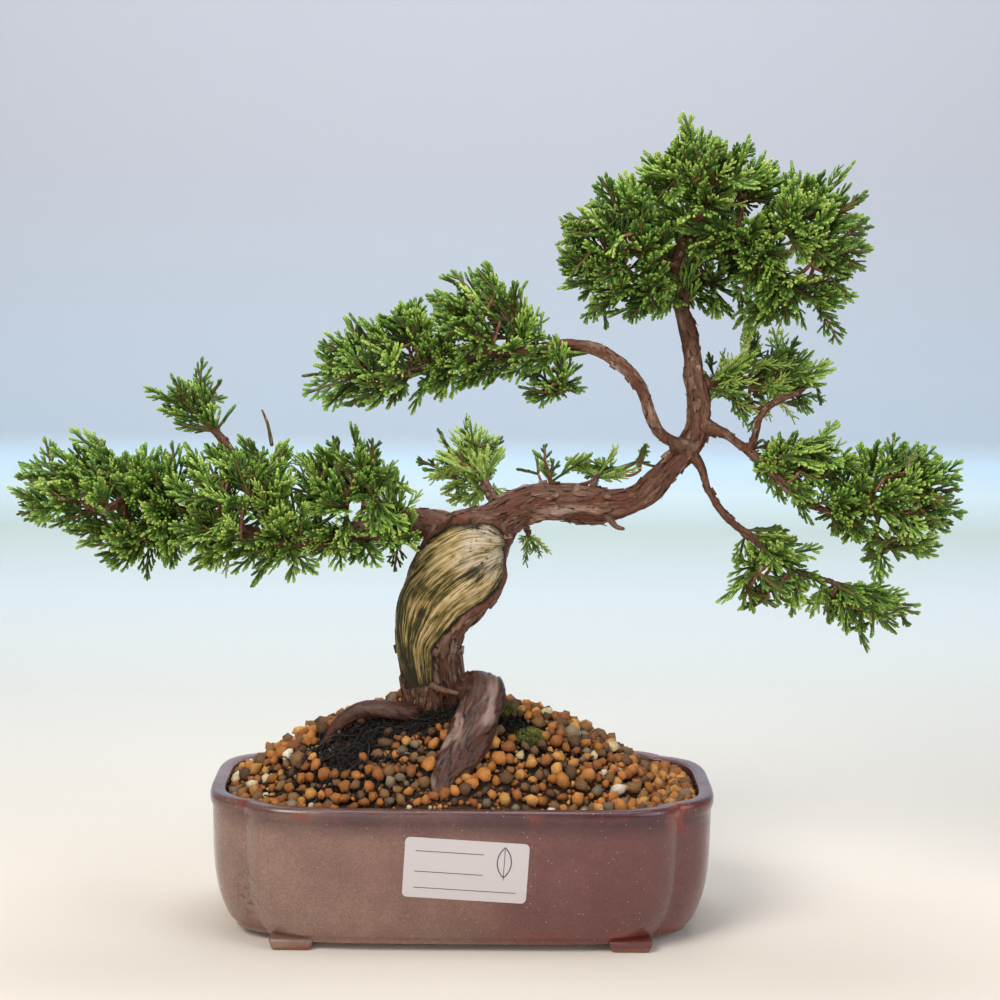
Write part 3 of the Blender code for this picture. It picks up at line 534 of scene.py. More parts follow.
# Peeling layers of bark with open cracks between them, in mm. grain holds the distance along and two across.
def barkHeight(grain, rough, size):
    wander = np.array([noise.noise_vector(Vector(p) * 0.1) for p in grain])
    ragged = noiseAt(grain * (0.35, 0.9, 0.9), 1.0, 9) * 0.07
    coarse, coarseEdge = terraces(
        noiseAt(grain * (0.05, 0.14, 0.14) / size + wander * 0.5, 1.0, 2) + 1.6 * ragged, 2.7)
    small, smallEdge = terraces(noiseAt(grain * (0.10, 0.36, 0.36) / size + wander * 0.4, 1.0, 7) + ragged, 1.7)
    split = np.abs(noiseAt(grain * (0.04, 0.27, 0.27) / size + wander * 0.7, 1.0, 4))
    fibres = noiseAt(grain * (0.16, 1.3, 1.3) + wander * 0.6, 1.0, 3)
    swell = noiseAt(grain * (0.07, 0.2, 0.2), 1.0, 5)
    opened = (1 - smoothStep(0.01, 0.06, split)) * smoothStep(-0.2, 0.2, noiseAt(grain * 0.13, 1.0, 21))
    height = 1.55 * coarse + 0.5 * small - 0.4 * opened + 0.12 * fibres + 0.55 * swell
    layer = np.clip(0.5 + 0.85 * coarse + 0.4 * small, 0, 1)
    # Low at open cracks and along the foot of each step between layers: there the bark is painted with crevice shade.
    relief = np.clip(0.8 + 0.22 * fibres - 0.2 * opened - 0.8 * coarseEdge - 0.35 * smallEdge, 0, 1)
    return height * rough * size, relief, layer


def deadHeight(grain):  # weathered wood: long wandering flutes with fine grooves on them, in mm
    wander = np.array([noise.noise_vector(Vector(p) * 0.07) for p in grain * (0.6, 1, 1)])
    drawn = grain + wander * 1.6
    flutes = noiseAt(drawn * (0.025, 0.24, 0.24), 1.0, 8)
    grooves = ridgesAt(drawn * (0.04, 0.62, 0.62), 1.0, 11)
    fine = ridgesAt(drawn * (0.06, 1.3, 1.3), 1.0, 12)
    return flutes, np.clip(grooves, -1, 1), fine


# Loose flakes of bark: thin curved strips held at one end and lifted at the other.
def shedFlakes(heap, skin, outward, grain, rows, around, count, size, seed, values):
    chance = random.Random(seed)
    lengthwise, across = (0, 0.3, 0.6, 0.85, 1.0), (-0.5, 0, 0.5)
    corners = [[k + i, k + i + 1, k + i + 4, k + i + 3] for k in (0, 15) for i in (0, 1, 3, 4, 6, 7, 9, 10)]
    share = np.tile(np.repeat(lengthwise, 3), 2)
    for _ in range(count):
        row, column = chance.randrange(4, rows - 4), chance.randrange(around)
        at = row * around + column
        if values["dead"][at] > 0.1:
            continue
        away = chance.choice((-1, 1))
        ahead = Vector(skin[at + 3 * around * away] - skin[at]).normalized()
        out = Vector(outward[at])
        side = out.cross(ahead).normalized()
        long, wide = size * chance.uniform(1.8, 4.6), size * chance.uniform(0.8, 2.0)
        lift, curl, peeling = size * chance.uniform(0.3, 1.1), chance.uniform(-0.1, 0.3), chance.random() < 0.6
        sheet = []
        for below in (0, 1):
            for u in lengthwise:
                for w in across:
                    taper = wide * (1 - 0.55 * u * u) * (1 + 0.2 * math.sin(9 * u + column))
                    rise = lift * ((w + 0.5) ** 2 if peeling else u * u) + curl * wide * w * w
                    rise -= (0.1 + below * 0.13) * mm
                    sheet.append(Vector(skin[at]) + ahead * long * (u - 0.15) + side * w * taper + out * rise)
        quads = [quad if (away > 0) == (quad[0] < 15) else quad[::-1] for quad in corners]
        drawn = np.tile(grain[at], (30, 1))
        drawn[:, 0] += share * long / mm * away
        drawn[:, 1] += np.tile(across, 10) * wide / mm
        held = {key: np.full(30, value[at]) for key, value in values.items()}
        held["relief"] = 0.35 + 0.4 * share
        held["layer"] = np.full(30, chance.uniform(0.35, 1.0))
        heap.add(np.array(sheet), np.array(quads), np.empty((0, 3), int), grain=drawn, **held)


def evenLine(points, radii, spacing):  # the same line again, smoothed, with evenly spaced points
    points = np.asarray(points, float)
    radii = np.asarray(radii, float)
    for _ in range(2):
        points[1:-1] = (points[:-2] + 2 * points[1:-1] + points[2:]) / 4
        radii[1:-1] = (radii[:-2] + 2 * radii[1:-1] + radii[2:]) / 4
    route = np.array([tuple(p) for p in smoothPath([Vector(p) for p in points], 6)])
    girths = np.interp(np.arange(len(route)) / 6, np.arange(len(points)), radii)
    walked = np.concatenate([[0], np.cumsum(np.linalg.norm(np.diff(route, axis=0), axis=1))])
    places = np.linspace(0, walked[-1], max(8, int(walked[-1] / spacing)))
    even = np.stack([np.interp(places, walked, route[:, axis]) for axis in range(3)], -1)
    return even, np.interp(places, walked, girths), places


def skinAround(name, points, radii, walked, around, reach, rough, material, finish, flakes=0, flakeSize=mm):
    tangents, sides, ups = framesAlong(points)
    angles, out = ringsAbout(sides, ups, around)
    girth = np.repeat(radii, around)
    spun = np.tile(np.stack([np.cos(angles), np.sin(angles)], -1), (len(points), 1))
    grain = np.stack([np.repeat(walked, around) / mm, spun[:, 0] * girth / mm, spun[:, 1] * girth / mm], -1)
    outward = out.reshape(-1, 3)
    skin = np.repeat(points, around, axis=0) + outward * reach.reshape(-1, 1)
    height, relief, layer = barkHeight(grain, rough, np.clip(girth / (6 * mm), 0.35, 1.1).mean())
    height, values = finish(skin, outward, grain, height, relief)
    values["layer"] = layer
    skin = skin + outward * height[:, None] * mm
    ends = np.array([points[0], points[-1] + tangents[-1] * reach[-1].mean() * 0.7])
    quads, caps = skinFaces(len(points), around)
    heap = Heap()
    spread = {key: np.concatenate([value, value[:1], value[-1:]]) for key, value in values.items()}
    heap.add(np.concatenate([skin, ends]), quads, caps, grain=np.concatenate([grain, grain[:1], grain[-1:]]),
             **spread)
    if flakes:
        shedFlakes(heap, skin, outward, grain, len(points), around, flakes, flakeSize, len(name), values)
    return heap.build(name, material)


stemLines = {}  # each stem's middle line, for the twigs that grow from it


def makeTrunk():
    lowest = min(vertex.co.z for vertex in nodes["trunk"].data.vertices)
    middles, radii, tip = centreLineOf("trunk", lambda p: p.z < lowest + 0.5 * mm)
    middles = np.concatenate([middles, [tip]])
    radii = np.concatenate([radii, [0.7 * mm]])
    points, radii, walked = evenLine(middles, radii, trunkLook["spacing"])
    stemLines["trunk"] = points
    around = trunkLook["around"]
    solid = cadTree("trunk")
    tangents, sides, ups = framesAlong(points)
    reach = np.empty((len(points), around))
    for i, (point, side, up) in enumerate(zip(points, sides, ups)):
        for j in range(0, around, 4):
            angle = j / around * math.tau
            hit = solid.ray_cast(Vector(point), Vector(side * math.cos(angle) + up * math.sin(angle)))[0]
            far = (hit - Vector(point)).length if hit else radii[i]
            reach[i, j:j + 4] = min(far, radii[i] * 1.7)
    for _ in range(6):
        reach = (np.roll(reach, 1, 1) + reach + np.roll(reach, -1, 1)) / 3
        reach[1:-1] = (reach[:-2] + 2 * reach[1:-1] + reach[2:]) / 4
    look = trunkLook

    def bare(skin, outward, grain, height, relief):
        local = (skin - np.array(treeFoot)) / mm
        x, z = local[:, 0], local[:, 2]
        wobble = noiseAt(local, 0.16, 2) * 1.1 + noiseAt(local, 0.5, 4) * 0.4
        onLeft = smoothStep(2, -6, x)
        outside = np.maximum(edgeDistance(x, z) + wobble, (outward[:, 1] + 0.12 - 0.3 * onLeft) * 12)
        outside = np.where((z > -2) & (z < 66), outside, 20)
        dead = 1 - smoothStep(-0.35, 0.35, outside)
        lip = np.exp(-((outside - 1.3) / 1.0) ** 2) * smoothStep(4, 12, z) * (
            1 - 0.7 * onLeft * smoothStep(46, 38, z))
        seam = np.exp(-((outside - 0.05) / 0.4) ** 2)
        flowing = grain.copy()
        bared = dead > 0.02
        (left, walked), (right, below) = (flowAlong(edge, x[bared], z[bared]) for edge in grainEdges)
        flowing[bared] = np.stack([(walked + below) / 2, left / (left + right) * 30, 0.25 * local[bared, 1]], -1)
        grain[dead > 0.5] = flowing[dead > 0.5]
        flutes, grooves, fine = deadHeight(flowing)
        fromTongue, upTongue = alongEdge(barkTongue[::-1], x, z)
        tongueWidth = np.interp(upTongue, [0, 12, 28], [2.4, 1.5, 0.5])
        tongue = np.exp(-(fromTongue / tongueWidth) ** 2) * smoothStep(30, 20, upTongue)
        checks = smoothStep(0.05, 0.0, np.abs(noiseAt(local * (1, 1, 1.4), 0.22, 31))) * smoothStep(
            0.0, 0.25, noiseAt(local, 0.25, 33)) * smoothStep(34, 44, z) * smoothStep(2, 10, x)
        weathered = (-look["sunk"] + look["flute"] * flutes + look["groove"] * grooves) / mm + 0.12 * fine
        weathered = weathered + 0.9 * tongue - 0.35 * checks
        knobX, knobY, knobZ, high = look["knob"]
        knob = high * np.exp(-(((local - (knobX, knobY, knobZ)) / (3.2, 4, 2.6)) ** 2).sum(axis=1))
        calm = 1 - 0.75 * np.exp(-((outside - 1.1) / 1.6) ** 2)
        height = dead * weathered + (1 - dead) * (height * look["rough"] * calm + lip * look["lip"] / mm + knob)
        height = height - 0.5 * seam
        # The bared wood's colour value: lower where the wood is lower, in its flutes and grooves, in the cracks,
        # along the seam and in a strip just inside the outline under the raised lip, all painted shade.
        lines = np.clip(0.45 + 0.6 * flutes + 0.4 * grooves + 0.34 * fine, 0, 1)
        lines = lines * (1 - 0.85 * seam) * (1 - 0.8 * checks) * (
            1 - 0.5 * smoothStep(-2.2, -0.4, outside) * smoothStep(10, 30, z))
        bleached = dead * smoothStep(40, 50, z) * smoothStep(4, 13, x) * (0.6 + noiseAt(local, 0.25, 51))
        patches = smoothStep(0.12, 0.42, noiseAt(local * (1, 1, 1.3), 0.2, 61)) * smoothStep(22, 34, z)
        across = 0.85 * x + 0.4 * (z - 34) + 6 * noiseAt(local, 0.12, 6)
        damp = smoothStep(0.15, 0.4, noiseAt(local, 0.3, 41)) * 0.5
        # Darker to the lower left and in damp patches, as real moss and damp, and below about 13 mm at the wood's
        # foot, as painted shade.
        mossy = dead * (1 - smoothStep(-10, 16, across) + damp - 0.5 * tongue + 1.1 * (1 - smoothStep(5, 13, z)))
        ringed = np.exp(-((outside - 1.5) / 1.3) ** 2) * smoothStep(20, 34, z)  # the lip's layers, seen edge on
        relief = relief * (1 - ringed) + ringed * np.clip(0.55 + 0.5 * np.sin(outside * 5.2 + 2 * wobble), 0, 1)
        # The bark is darkened along the seam and more and more below 36 mm up the trunk, as painted shade.
        shown = np.clip(relief + 0.15 * lip, 0, 1) * (1 - 0.8 * seam) * (1 - 0.45 * smoothStep(36, 16, z))
        return height, {
            "relief": dead * lines + (1 - dead) * shown, "dead": dead, "bleached": bleached,
            "mossy": np.clip(mossy + 0.6 * patches, -0.5, 1.6), "young": smoothStep(105, 145, z)}

    piece = skinAround("trunkBark", points, radii, walked, around, reach, 1.0, oldBark, bare, look["flakes"])
    finishPiece(piece, "bark", "trunk")


def makeBranched(node, look, middles, radii, spacing, uneven, limits, valuesOf, material, slotName, flakesEach=0):
    points, radii, walked = evenLine(middles, radii, spacing)
    around = look["around"]
    angles = np.arange(around) / around * math.tau
    girth = np.repeat(radii, around) / mm

    def dressed(skin, outward, grain, height, relief):
        values = valuesOf(outward, np.zeros(len(skin)))
        return np.clip(height, limits[0] * girth, limits[1] * girth), {"relief": relief, **values}

    piece = skinAround(node + "Bark", points, radii, walked, around, uneven(angles[None, :], walked[:, None], radii),
                       look["rough"], material, dressed, int(walked[-1] / mm * flakesEach), 0.7 * mm)
    finishPiece(piece, slotName, node)
    return points


def makeStem(node, look):
    parent = cadTree(look["from"])
    middles, radii, tip = centreLineOf(node, lambda p: (parent.find_nearest(p)[0] - p).length < 0.9 * mm, 2 * mm)
    onParent, facing = parent.find_nearest(Vector(middles[0]))[:2]
    inside = np.array(onParent - facing * 2.2 * mm)
    middles = np.concatenate([[inside, onParent], middles[1:], [tip]])
    radii = np.concatenate([[radii[1] * 1.35, radii[1] * 1.25], radii[1:], [radii[-1] * 0.6]])

    def uneven(angles, walked, radii):  # with a collar where it leaves its parent
        collar = 1 + 0.38 * np.exp(-walked / (2.8 * mm))
        return (radii[:, None] * collar) * (1 + 0.09 * np.cos(2 * angles + walked / (9 * mm)))

    stemLines[node] = makeBranched(
        node, look, middles, radii, max(0.45 * mm, float(np.mean(radii)) * 0.3), uneven, (-0.26, 0.36),
        lambda outward, none: {"dead": none, "bleached": none, "mossy": none, "young": none + look["young"]},
        oldBark, "bark", 0.9 if look["rough"] > 0.75 else 0.4)


def makeRoot(node, look):
    middles, radii, tip = centreLineOf(node, None, 2 * mm)
    # The pale bloom goes on the faces turned up and to the front, toward the key light: partly a real bloom, partly a
    # painted highlight.
    makeBranched(
        node, look, np.concatenate([middles, [tip]]), np.concatenate([radii, [radii[-1] * 0.7]]), 0.6 * mm,
        lambda angles, walked, radii: radii[:, None] * (
            1 + 0.08 * np.cos(2 * angles + walked / (7 * mm)) + 0.05 * np.cos(3 * angles - walked / (5 * mm))),
        (-0.25, 0.3), lambda outward, none: {
            "bleached": smoothStep(-0.2, 0.5, outward[:, 2] - outward[:, 1]) * look["bleached"]},
        rootBark, "root_bark")


# Small broken bits: points in mm from the tree's foot, the thickness at each end, and how dead each one is.
brokenWood = {
    "brokenStub": (((57.1, 0, 64.6), (59.1, -2, 61.5), (60.7, -3, 60), (63, -4, 59.5)), (1.5, 0.5), 0),
    "bareDeadTwig": (((-57.1, -10, 98.6), (-55.2, -10, 93.6), (-53.9, -10, 87)), (0.35, 0.7), 0.8),
    "rootletNear": (((14.2, -24, -0.9), (13.6, -29, -5.4), (12.3, -33, -10.2)), (1.3, 0.5), 0),
    "rootletFar": (((21.2, -22, -4.6), (18.8, -28, -9), (15.3, -33, -12.8)), (1.2, 0.5), 0),
    "barkChip": (((-0.8, -17, 8.6), (3, -18, 7.2), (8.6, -19, 6.2)), (1.1, 0.7), 0.1),
}


def makeBrokenWood():
    heap = Heap()
    for places, thickness, dead in brokenWood.values():
        line = smoothPath([treeFoot + Vector(place) * mm for place in places], 5)
        thick = np.linspace(*thickness, len(line)) * mm * (1 + 0.18 * noiseAt(line, 500))
        skin, quads, caps = tubeSkin(line, thick, 12)
        grain = np.stack([skin[:, 2] / mm, skin[:, 0] / mm * 1.4, skin[:, 1] / mm * 1.4], -1)
        heap.add(skin, quads, caps, grain=grain, relief=0.6 + 0.5 * noiseAt(skin / mm, 0.9), layer=0.45,
                 dead=dead, bleached=0, mossy=0.4, young=0)
    finishPiece(heap.build("brokenWood", oldBark), "bark")


makeBrokenWood()
makeTrunk()
for makeOne, looks in ((makeStem, stems), (makeRoot, roots)):
    for node, look in looks.items():
        makeOne(node, look)
print("trunk, limbs and roots made")


sprayLook = {
    "shoot": 0.5 * mm, "fine": 0.43 * mm, "spacing": 2.2 * mm, "angle": 33, "lengths": (8, 11, 14, 18, 22),
    "variants": 4, "needleVariants": 3, "twigTries": 6000, "twigDepth": 9 * mm, "twigSpacing": 6.6 * mm,
    "tipTries": 6000, "cloudSpacing": 5.2 * mm,
}
scalePair = 0.85  # mm along a shoot from one pair of scales to the next
leafColours = {"inner": "#75672F", "dark": "#2F4A1E", "mid": "#547C2C", "bright": "#8CB145", "tip": "#C0D96E"}

# Each mass: the stems it grows from, how far apart its spray tips stand in mm, its share of young needle-like sprays,
# how much paler it is, how often its underside stays bare, and extra tips in mm from the tree's foot.
masses = {
    "foliage_left_outer": {"stems": ("limb_left",), "needles": 0.05},
    "foliage_left_middle": {"stems": ("limb_left", "limb_left_rise"), "needles": 0.12, "bareBelow": 0.1, "tips": (
        (-38, -24, 45), (-48, -18, 42), (-60, -18, 40), (-70, -22, 41),
        (-44, -28, 49), (-56, -26, 46), (-66, -24, 45), (-76, -24, 48), (-50, -32, 55), (-48, -10, 88))},
    "foliage_left_inner": {"stems": ("limb_left",), "needles": 0.3, "bareBelow": 0, "tips": (
        (-3, -24, 58), (-10, -30, 60), (-18, -26, 49), (-30, -26, 48), (-42, -30, 54), (-14, -14, 50), (-28, -12, 47),
        (-8.5, -26, 55.6), (-16, -28, 53.2), (-26, -30, 53.4), (-35, -30, 51), (-20, -32, 59), (-30, -34, 56.6),
        (-8, -18, 59.7), (-12, -24, 64), (-25, -28, 64), (-38, -26, 60))},
    "foliage_left_top": {"stems": ("limb_left_rise",), "spacing": 6.5, "needles": 0},
    "foliage_middle_outer": {"stems": ("limb_middle",), "needles": 0.05},
    "foliage_middle_inner": {"stems": ("limb_middle",), "needles": 0},
    "foliage_middle_droop": {"stems": ("limb_middle",), "spacing": 6.5, "needles": 0},
    "foliage_apex_left": {"stems": ("limb_apex_left", "trunk"), "needles": 0},
    "foliage_apex_top": {"stems": ("trunk", "limb_apex_right"), "needles": 0.05, "tips": (
        (80.9, -2, 192.5), (77, 0, 186), (84, -4, 184))},
    "foliage_apex_right": {"stems": ("limb_apex_right",), "needles": 0.05},
    "foliage_apex_back": {"stems": ("trunk", "limb_apex_right"), "needles": 0},
    "foliage_right_back": {"stems": ("limb_right_back", "limb_right_fork"), "needles": 0.4, "pale": 0.5},
    "foliage_right_inner": {"stems": ("limb_right",), "needles": 0.1},
    "foliage_right_outer": {"stems": ("limb_right",), "needles": 0},
    "foliage_low_inner": {"stems": ("limb_right_low",), "spacing": 6.8, "needles": 0},
    "foliage_low_outer": {"stems": ("limb_right_low",), "spacing": 6.5, "needles": 0},
    "foliage_back": {"stems": ("limb_back",), "spacing": 6.2, "needles": 0.3, "pale": 0.8},
    "foliage_back_right": {"stems": ("limb_back_right",), "spacing": 6.5, "needles": 0.2, "pale": 0.9},
    "foliage_below": {"stems": ("sprout_below",), "spacing": 4.5, "needles": 1},
}


def makeLeafMaterial():  # scale leaves in pairs on a shoot: brown inside the tree, darker there and on the undersides as painted shade, yellow-green at the tips
    leaf, add, feed = newMaterial("juniperScaleLeaf", Roughness=0.48, Specular_IOR_Level=0.4, Subsurface_Weight=0.12,
                                  Subsurface_Radius=(0.4 * mm, 0.9 * mm, 0.2 * mm), Subsurface_Scale=1.0)
    tip, tint, depth, along = (add("Attribute", attribute_name=name) for name in ("tip", "tint", "depth", "along"))
    coords = add("TexCoord")
    clumps, fleck = add("TexNoise", coords, 95, 2), add("TexNoise", coords, 1400, 2)
    # Depth darkens the sprays deep inside the tree and on its undersides: painted shade.
    light = tip * 0.62 + clumps * 0.45 + (tint - 0.48) * 0.5 + (fleck - 0.5) * 0.35 - depth * 0.22
    green = add("ValToRGB", light, stops=list(zip((0.0, 0.14, 0.40, 0.70, 0.98), leafColours.values())))
    agedAndShaded = add("MapRange", depth * (1.3 - tip), 0.6, 1.1)
    coloured = add("Mix", agedAndShaded * 0.6, green, leafColours["inner"])
    scales = (along * (math.tau / scalePair)).sine()
    shade = add("MapRange", scales, -1, 0.2, 0.72, 1.0)
    feed(Base_Color=add("Mix", 1.0, coloured, add("CombineColor", shade, shade, shade), blend_type="MULTIPLY"),
         Normal=add("Bump", scales, 0.5, 0.12 * mm))
    return leaf


def makeTwigMaterial():  # young bark in thin flakes, orange-brown with a green tinge where it is freshest
    twig, add, feed = newMaterial("youngOrangeTwig", Roughness=0.65)
    coords = add("TexCoord")
    flakes = add("TexNoise", coords, 900, 4)
    feed(Base_Color=add("ValToRGB", flakes * 0.6 + add("TexNoise", coords, 160, 2) * 0.4, stops=[
        (0.34, "#4A2A1A"), (0.47, "#86543A"), (0.58, "#B07F5C"), (0.72, "#9A8A55")]),
        Normal=add("Bump", flakes, 0.6, 0.2 * mm))
    return twig


def shootLine(start, heading, toward, length, step, wobble, chance):
    count = max(3, int(round(length / step)) + 1)
    points, place = [start], start
    for i in range(1, count):
        turned = heading.lerp(toward, 0.55 * i / count).normalized()
        turned += Vector([chance.uniform(-wobble, wobble) for _ in range(3)])
        place = place + turned.normalized() * (length / (count - 1))
        points.append(place)
    return points


def shootSkin(heap, points, radius, around, fresh, taper=0.5):  # fresh: how bright its start and its end are
    end = points[-1] - (points[-1] - points[-2]).normalized() * radius * 0.7
    places = points[:-1] + [end, points[-1]]
    sizes = [radius * (1.05 if i % 2 else 0.95) for i in range(len(places))]
    sizes[0], sizes[-1] = radius * 0.85, radius * taper
    steps = np.array([0] + [(b - a).length for a, b in zip(places, places[1:])]).cumsum()
    ripe = fresh[0] + (fresh[1] - fresh[0]) * np.exp((steps - steps[-1]) / (1.9 * mm))
    heap.add(*tubeSkin(places, sizes, around), tip=alongTube(ripe, around), along=alongTube(steps / mm, around))


def spotOn(line, share):  # a place on a line and the line's direction there
    where = share * (len(line) - 1)
    index = min(int(where), len(line) - 2)
    return line[index].lerp(line[index + 1], where - index), (line[index + 1] - line[index]).normalized()


def makeSpray(length, seed):  # a flat spray growing along +Z and spread along X
    chance = random.Random(seed)
    heap = Heap()
    bend = Vector((chance.uniform(-0.35, 0.35), chance.uniform(-0.1, 0.3), 1)).normalized()
    stem = shootLine(Vector(), Vector((0, 0, 1)), bend, length, 1.7 * mm, 0.05, chance)
    shootSkin(heap, stem, sprayLook["shoot"], 5, (-0.25, 1.0))
    place, side = 0.15 * length, chance.choice((-1, 1))
    while place < 0.88 * length:
        share = place / length
        start, ahead = spotOn(stem, share)
        angle = math.radians(sprayLook["angle"] + chance.uniform(-9, 9))
        heading = ahead * math.cos(angle) + Vector((side, chance.uniform(-0.5, 0.5), 0)) * math.sin(angle)
        long = (length - place) * chance.uniform(0.62, 0.98) * (0.7 if share < 0.25 else 1)
        long = min(max(long, 2.2 * mm), 9.5 * mm)
        branch = shootLine(start, heading.normalized(), ahead, long, 1.6 * mm, 0.06, chance)
        shootSkin(heap, branch, sprayLook["fine"], 5, (0.1 + 0.3 * share, 1.0))
        step, turn = 1.8 * mm, chance.choice((-1, 1))
        while long > 3.6 * mm and step < long - 1.3 * mm:
            root, line = spotOn(branch, step / long)
            across = line.cross(Vector((0, 1, 0))).normalized() * turn
            tilt = math.radians(chance.uniform(28, 44))
            head = line * math.cos(tilt) + (across + Vector((0, chance.uniform(-0.5, 0.5), 0))) * math.sin(tilt)
            short = min(4.4 * mm, (long - step) * 0.9) * chance.uniform(0.65, 1.05)
            if short > 1.3 * mm:
                twiglet = shootLine(root, head.normalized(), line, short, 1.5 * mm, 0.05, chance)
                shootSkin(heap, twiglet, sprayLook["fine"] * 0.95, 4, (0.3, 1.0))
            turn = -turn
            step += 2.0 * mm * chance.uniform(0.85, 1.2)
        side = -side
        place += sprayLook["spacing"] * chance.uniform(0.85, 1.15)
    return heap.join()


def makeNeedleSpray(length, seed):  # a young shoot, with soft needles all round it
    chance = random.Random(seed)
    heap = Heap()
    bend = Vector((chance.uniform(-0.3, 0.3), chance.uniform(-0.2, 0.2), 1)).normalized()
    stem = shootLine(Vector(), Vector((0, 0, 1)), bend, length, 1.6 * mm, 0.04, chance)
    shootSkin(heap, stem, 0.3 * mm, 4, (0.2, 0.8))
    place, turn = 1.5 * mm, 0.0
    while place < length:
        start, ahead = spotOn(stem, place / length)
        out = Vector((math.cos(turn), 0.6 * math.sin(turn), 0)).normalized()
        angle = math.radians(48 - 22 * place / length)
        heading = (ahead * math.cos(angle) + out * math.sin(angle)).normalized()
        long = chance.uniform(3.2, 4.8) * mm * (1 - 0.35 * place / length)
        needle = shootLine(start, heading, ahead, long, long / 2, 0.03, chance)
        shootSkin(heap, needle, 0.26 * mm, 3, (0.45, 0.9), 0.25)
        turn += 2.4
        place += 0.62 * mm
    return heap.join()


def placedSpray(heap, spray, base, direction, roll, scale, lift, tint, depth):
    points, quads, triangles, values = spray
    along = direction.normalized()
    across = along.cross(Vector((0, 0, 1)))
    across = across.normalized() if across.length > 0.1 else Vector((1, 0, 0))
    sideways = across * math.cos(roll) + along.cross(across) * math.sin(roll)
    turned = points @ np.array([sideways, along.cross(sideways), along]) * scale
    turned[:, 2] += (points[:, 2] / (12 * mm)) ** 2 * lift
    heap.add(turned + np.array(base), quads, triangles, **values, tint=tint, depth=depth)


def insideDepth(solid, place):  # how deep a place lies under a solid's skin, below zero outside it
    nearest, facing = solid.find_nearest(place)[:2]
    return (nearest - place).length * (1 if (place - nearest).dot(facing) < 0 else -1)


def growTwigs(node, look, solid, chance):  # joints from the stems to places inside a mass, each by its cheapest route
    low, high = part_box(node)
    candidates = []
    for _ in range(sprayLook["twigTries"]):
        place = Vector([chance.uniform(a, b) for a, b in zip(low, high)])
        candidates.append((insideDepth(solid, place), place))
    wanted = min(sprayLook["twigDepth"], max(depth for depth, place in candidates) * 0.55)
    ends = []
    for depth, place in candidates:
        if depth > wanted and all((place - other).length > sprayLook["twigSpacing"] for other in ends):
            ends.append(place)
    middle = sum(ends, Vector()) / max(1, len(ends))
    seeds = []
    for stem in look["stems"]:
        line = [Vector(p) for p in stemLines[stem]]
        seeds += [p for p in line[::4] if insideDepth(solid, p) > -4 * mm] or [
            min(line, key=lambda p: (p - middle).length)]
    made = [{"at": place, "walked": 0.0, "load": 0.0} for place in seeds]
    while ends:
        cost, place, number = min(((place - joint["at"]).length + 0.35 * joint["walked"], i, number)
                                  for i, place in enumerate(ends) for number, joint in enumerate(made))
        place = ends.pop(place)
        reach = made[number]["walked"] + (place - made[number]["at"]).length
        made.append({"at": place, "parent": number, "walked": reach, "load": 0.0})
    for joint in made[:len(seeds) - 1:-1]:
        joint["load"] += 1
        made[joint["parent"]]["load"] += joint["load"]
    return made, len(seeds)


# Masses that read as one cloud: the gaps between them are filled, except in front of the trunk.
clouds = (("foliage_left_outer", "foliage_left_middle", "foliage_left_inner"),
          ("foliage_middle_outer", "foliage_middle_inner"),
          ("foliage_apex_left", "foliage_apex_top", "foliage_apex_right", "foliage_apex_back"),
          ("foliage_right_inner", "foliage_right_outer"))
openWindow = {"across": (70, 95), "below": 150}  # mm from the tree's foot: the trunk shows here under the apex


def spacedOver(faces, spacing, seed, taken):  # random places on faces of (corners, normal, area), kept apart
    chance = random.Random(seed)
    areas = np.array([area for corners, normal, area in faces])
    found = []
    for pick in np.random.default_rng(seed).choice(len(areas), sprayLook["tipTries"], p=areas / areas.sum()):
        a, b = chance.random(), chance.random()
        if a + b > 1:
            a, b = 1 - a, 1 - b
        (first, second, third), normal, area = faces[pick]
        place = first + (second - first) * a + (third - first) * b
        if all((place - other).length > spacing for other, facing in found + taken):
            found.append((place, normal))
    return found


def cloudTips():  # places on the wrapped skin of each cloud, given to the mass that each lies nearest
    given = {node: [] for node in masses}
    for number, group in enumerate(clouds):
        form = bmesh.new()
        for node in group:
            form.from_mesh(nodes[node].data)
        bmesh.ops.convex_hull(form, input=form.verts)
        bmesh.ops.triangulate(form, faces=form.faces)
        faces = [([v.co.copy() for v in face.verts], face.normal.copy(), face.calc_area()) for face in form.faces
                 if face.is_valid]
        form.free()
        solids = {node: cadTree(node) for node in group}
        middle = sum((corners[0] for corners, normal, area in faces), Vector()) / len(faces)
        faces = [face for face in faces if (face[0][0] - middle).dot(face[1]) > 0]
        for place, facing in spacedOver(faces, sprayLook["cloudSpacing"], 50 + number, []):
            away = {node: -insideDepth(solid, place) for node, solid in solids.items()}
            nearest = min(away, key=away.get)
            local = (place - treeFoot) / mm
            shown = openWindow["across"][0] < local.x < openWindow["across"][1] and local.z < openWindow["below"]
            if 1.2 * mm < away[nearest] < 15 * mm and not (shown and local.y < 3):
                given[nearest].append((place, facing))
    return given


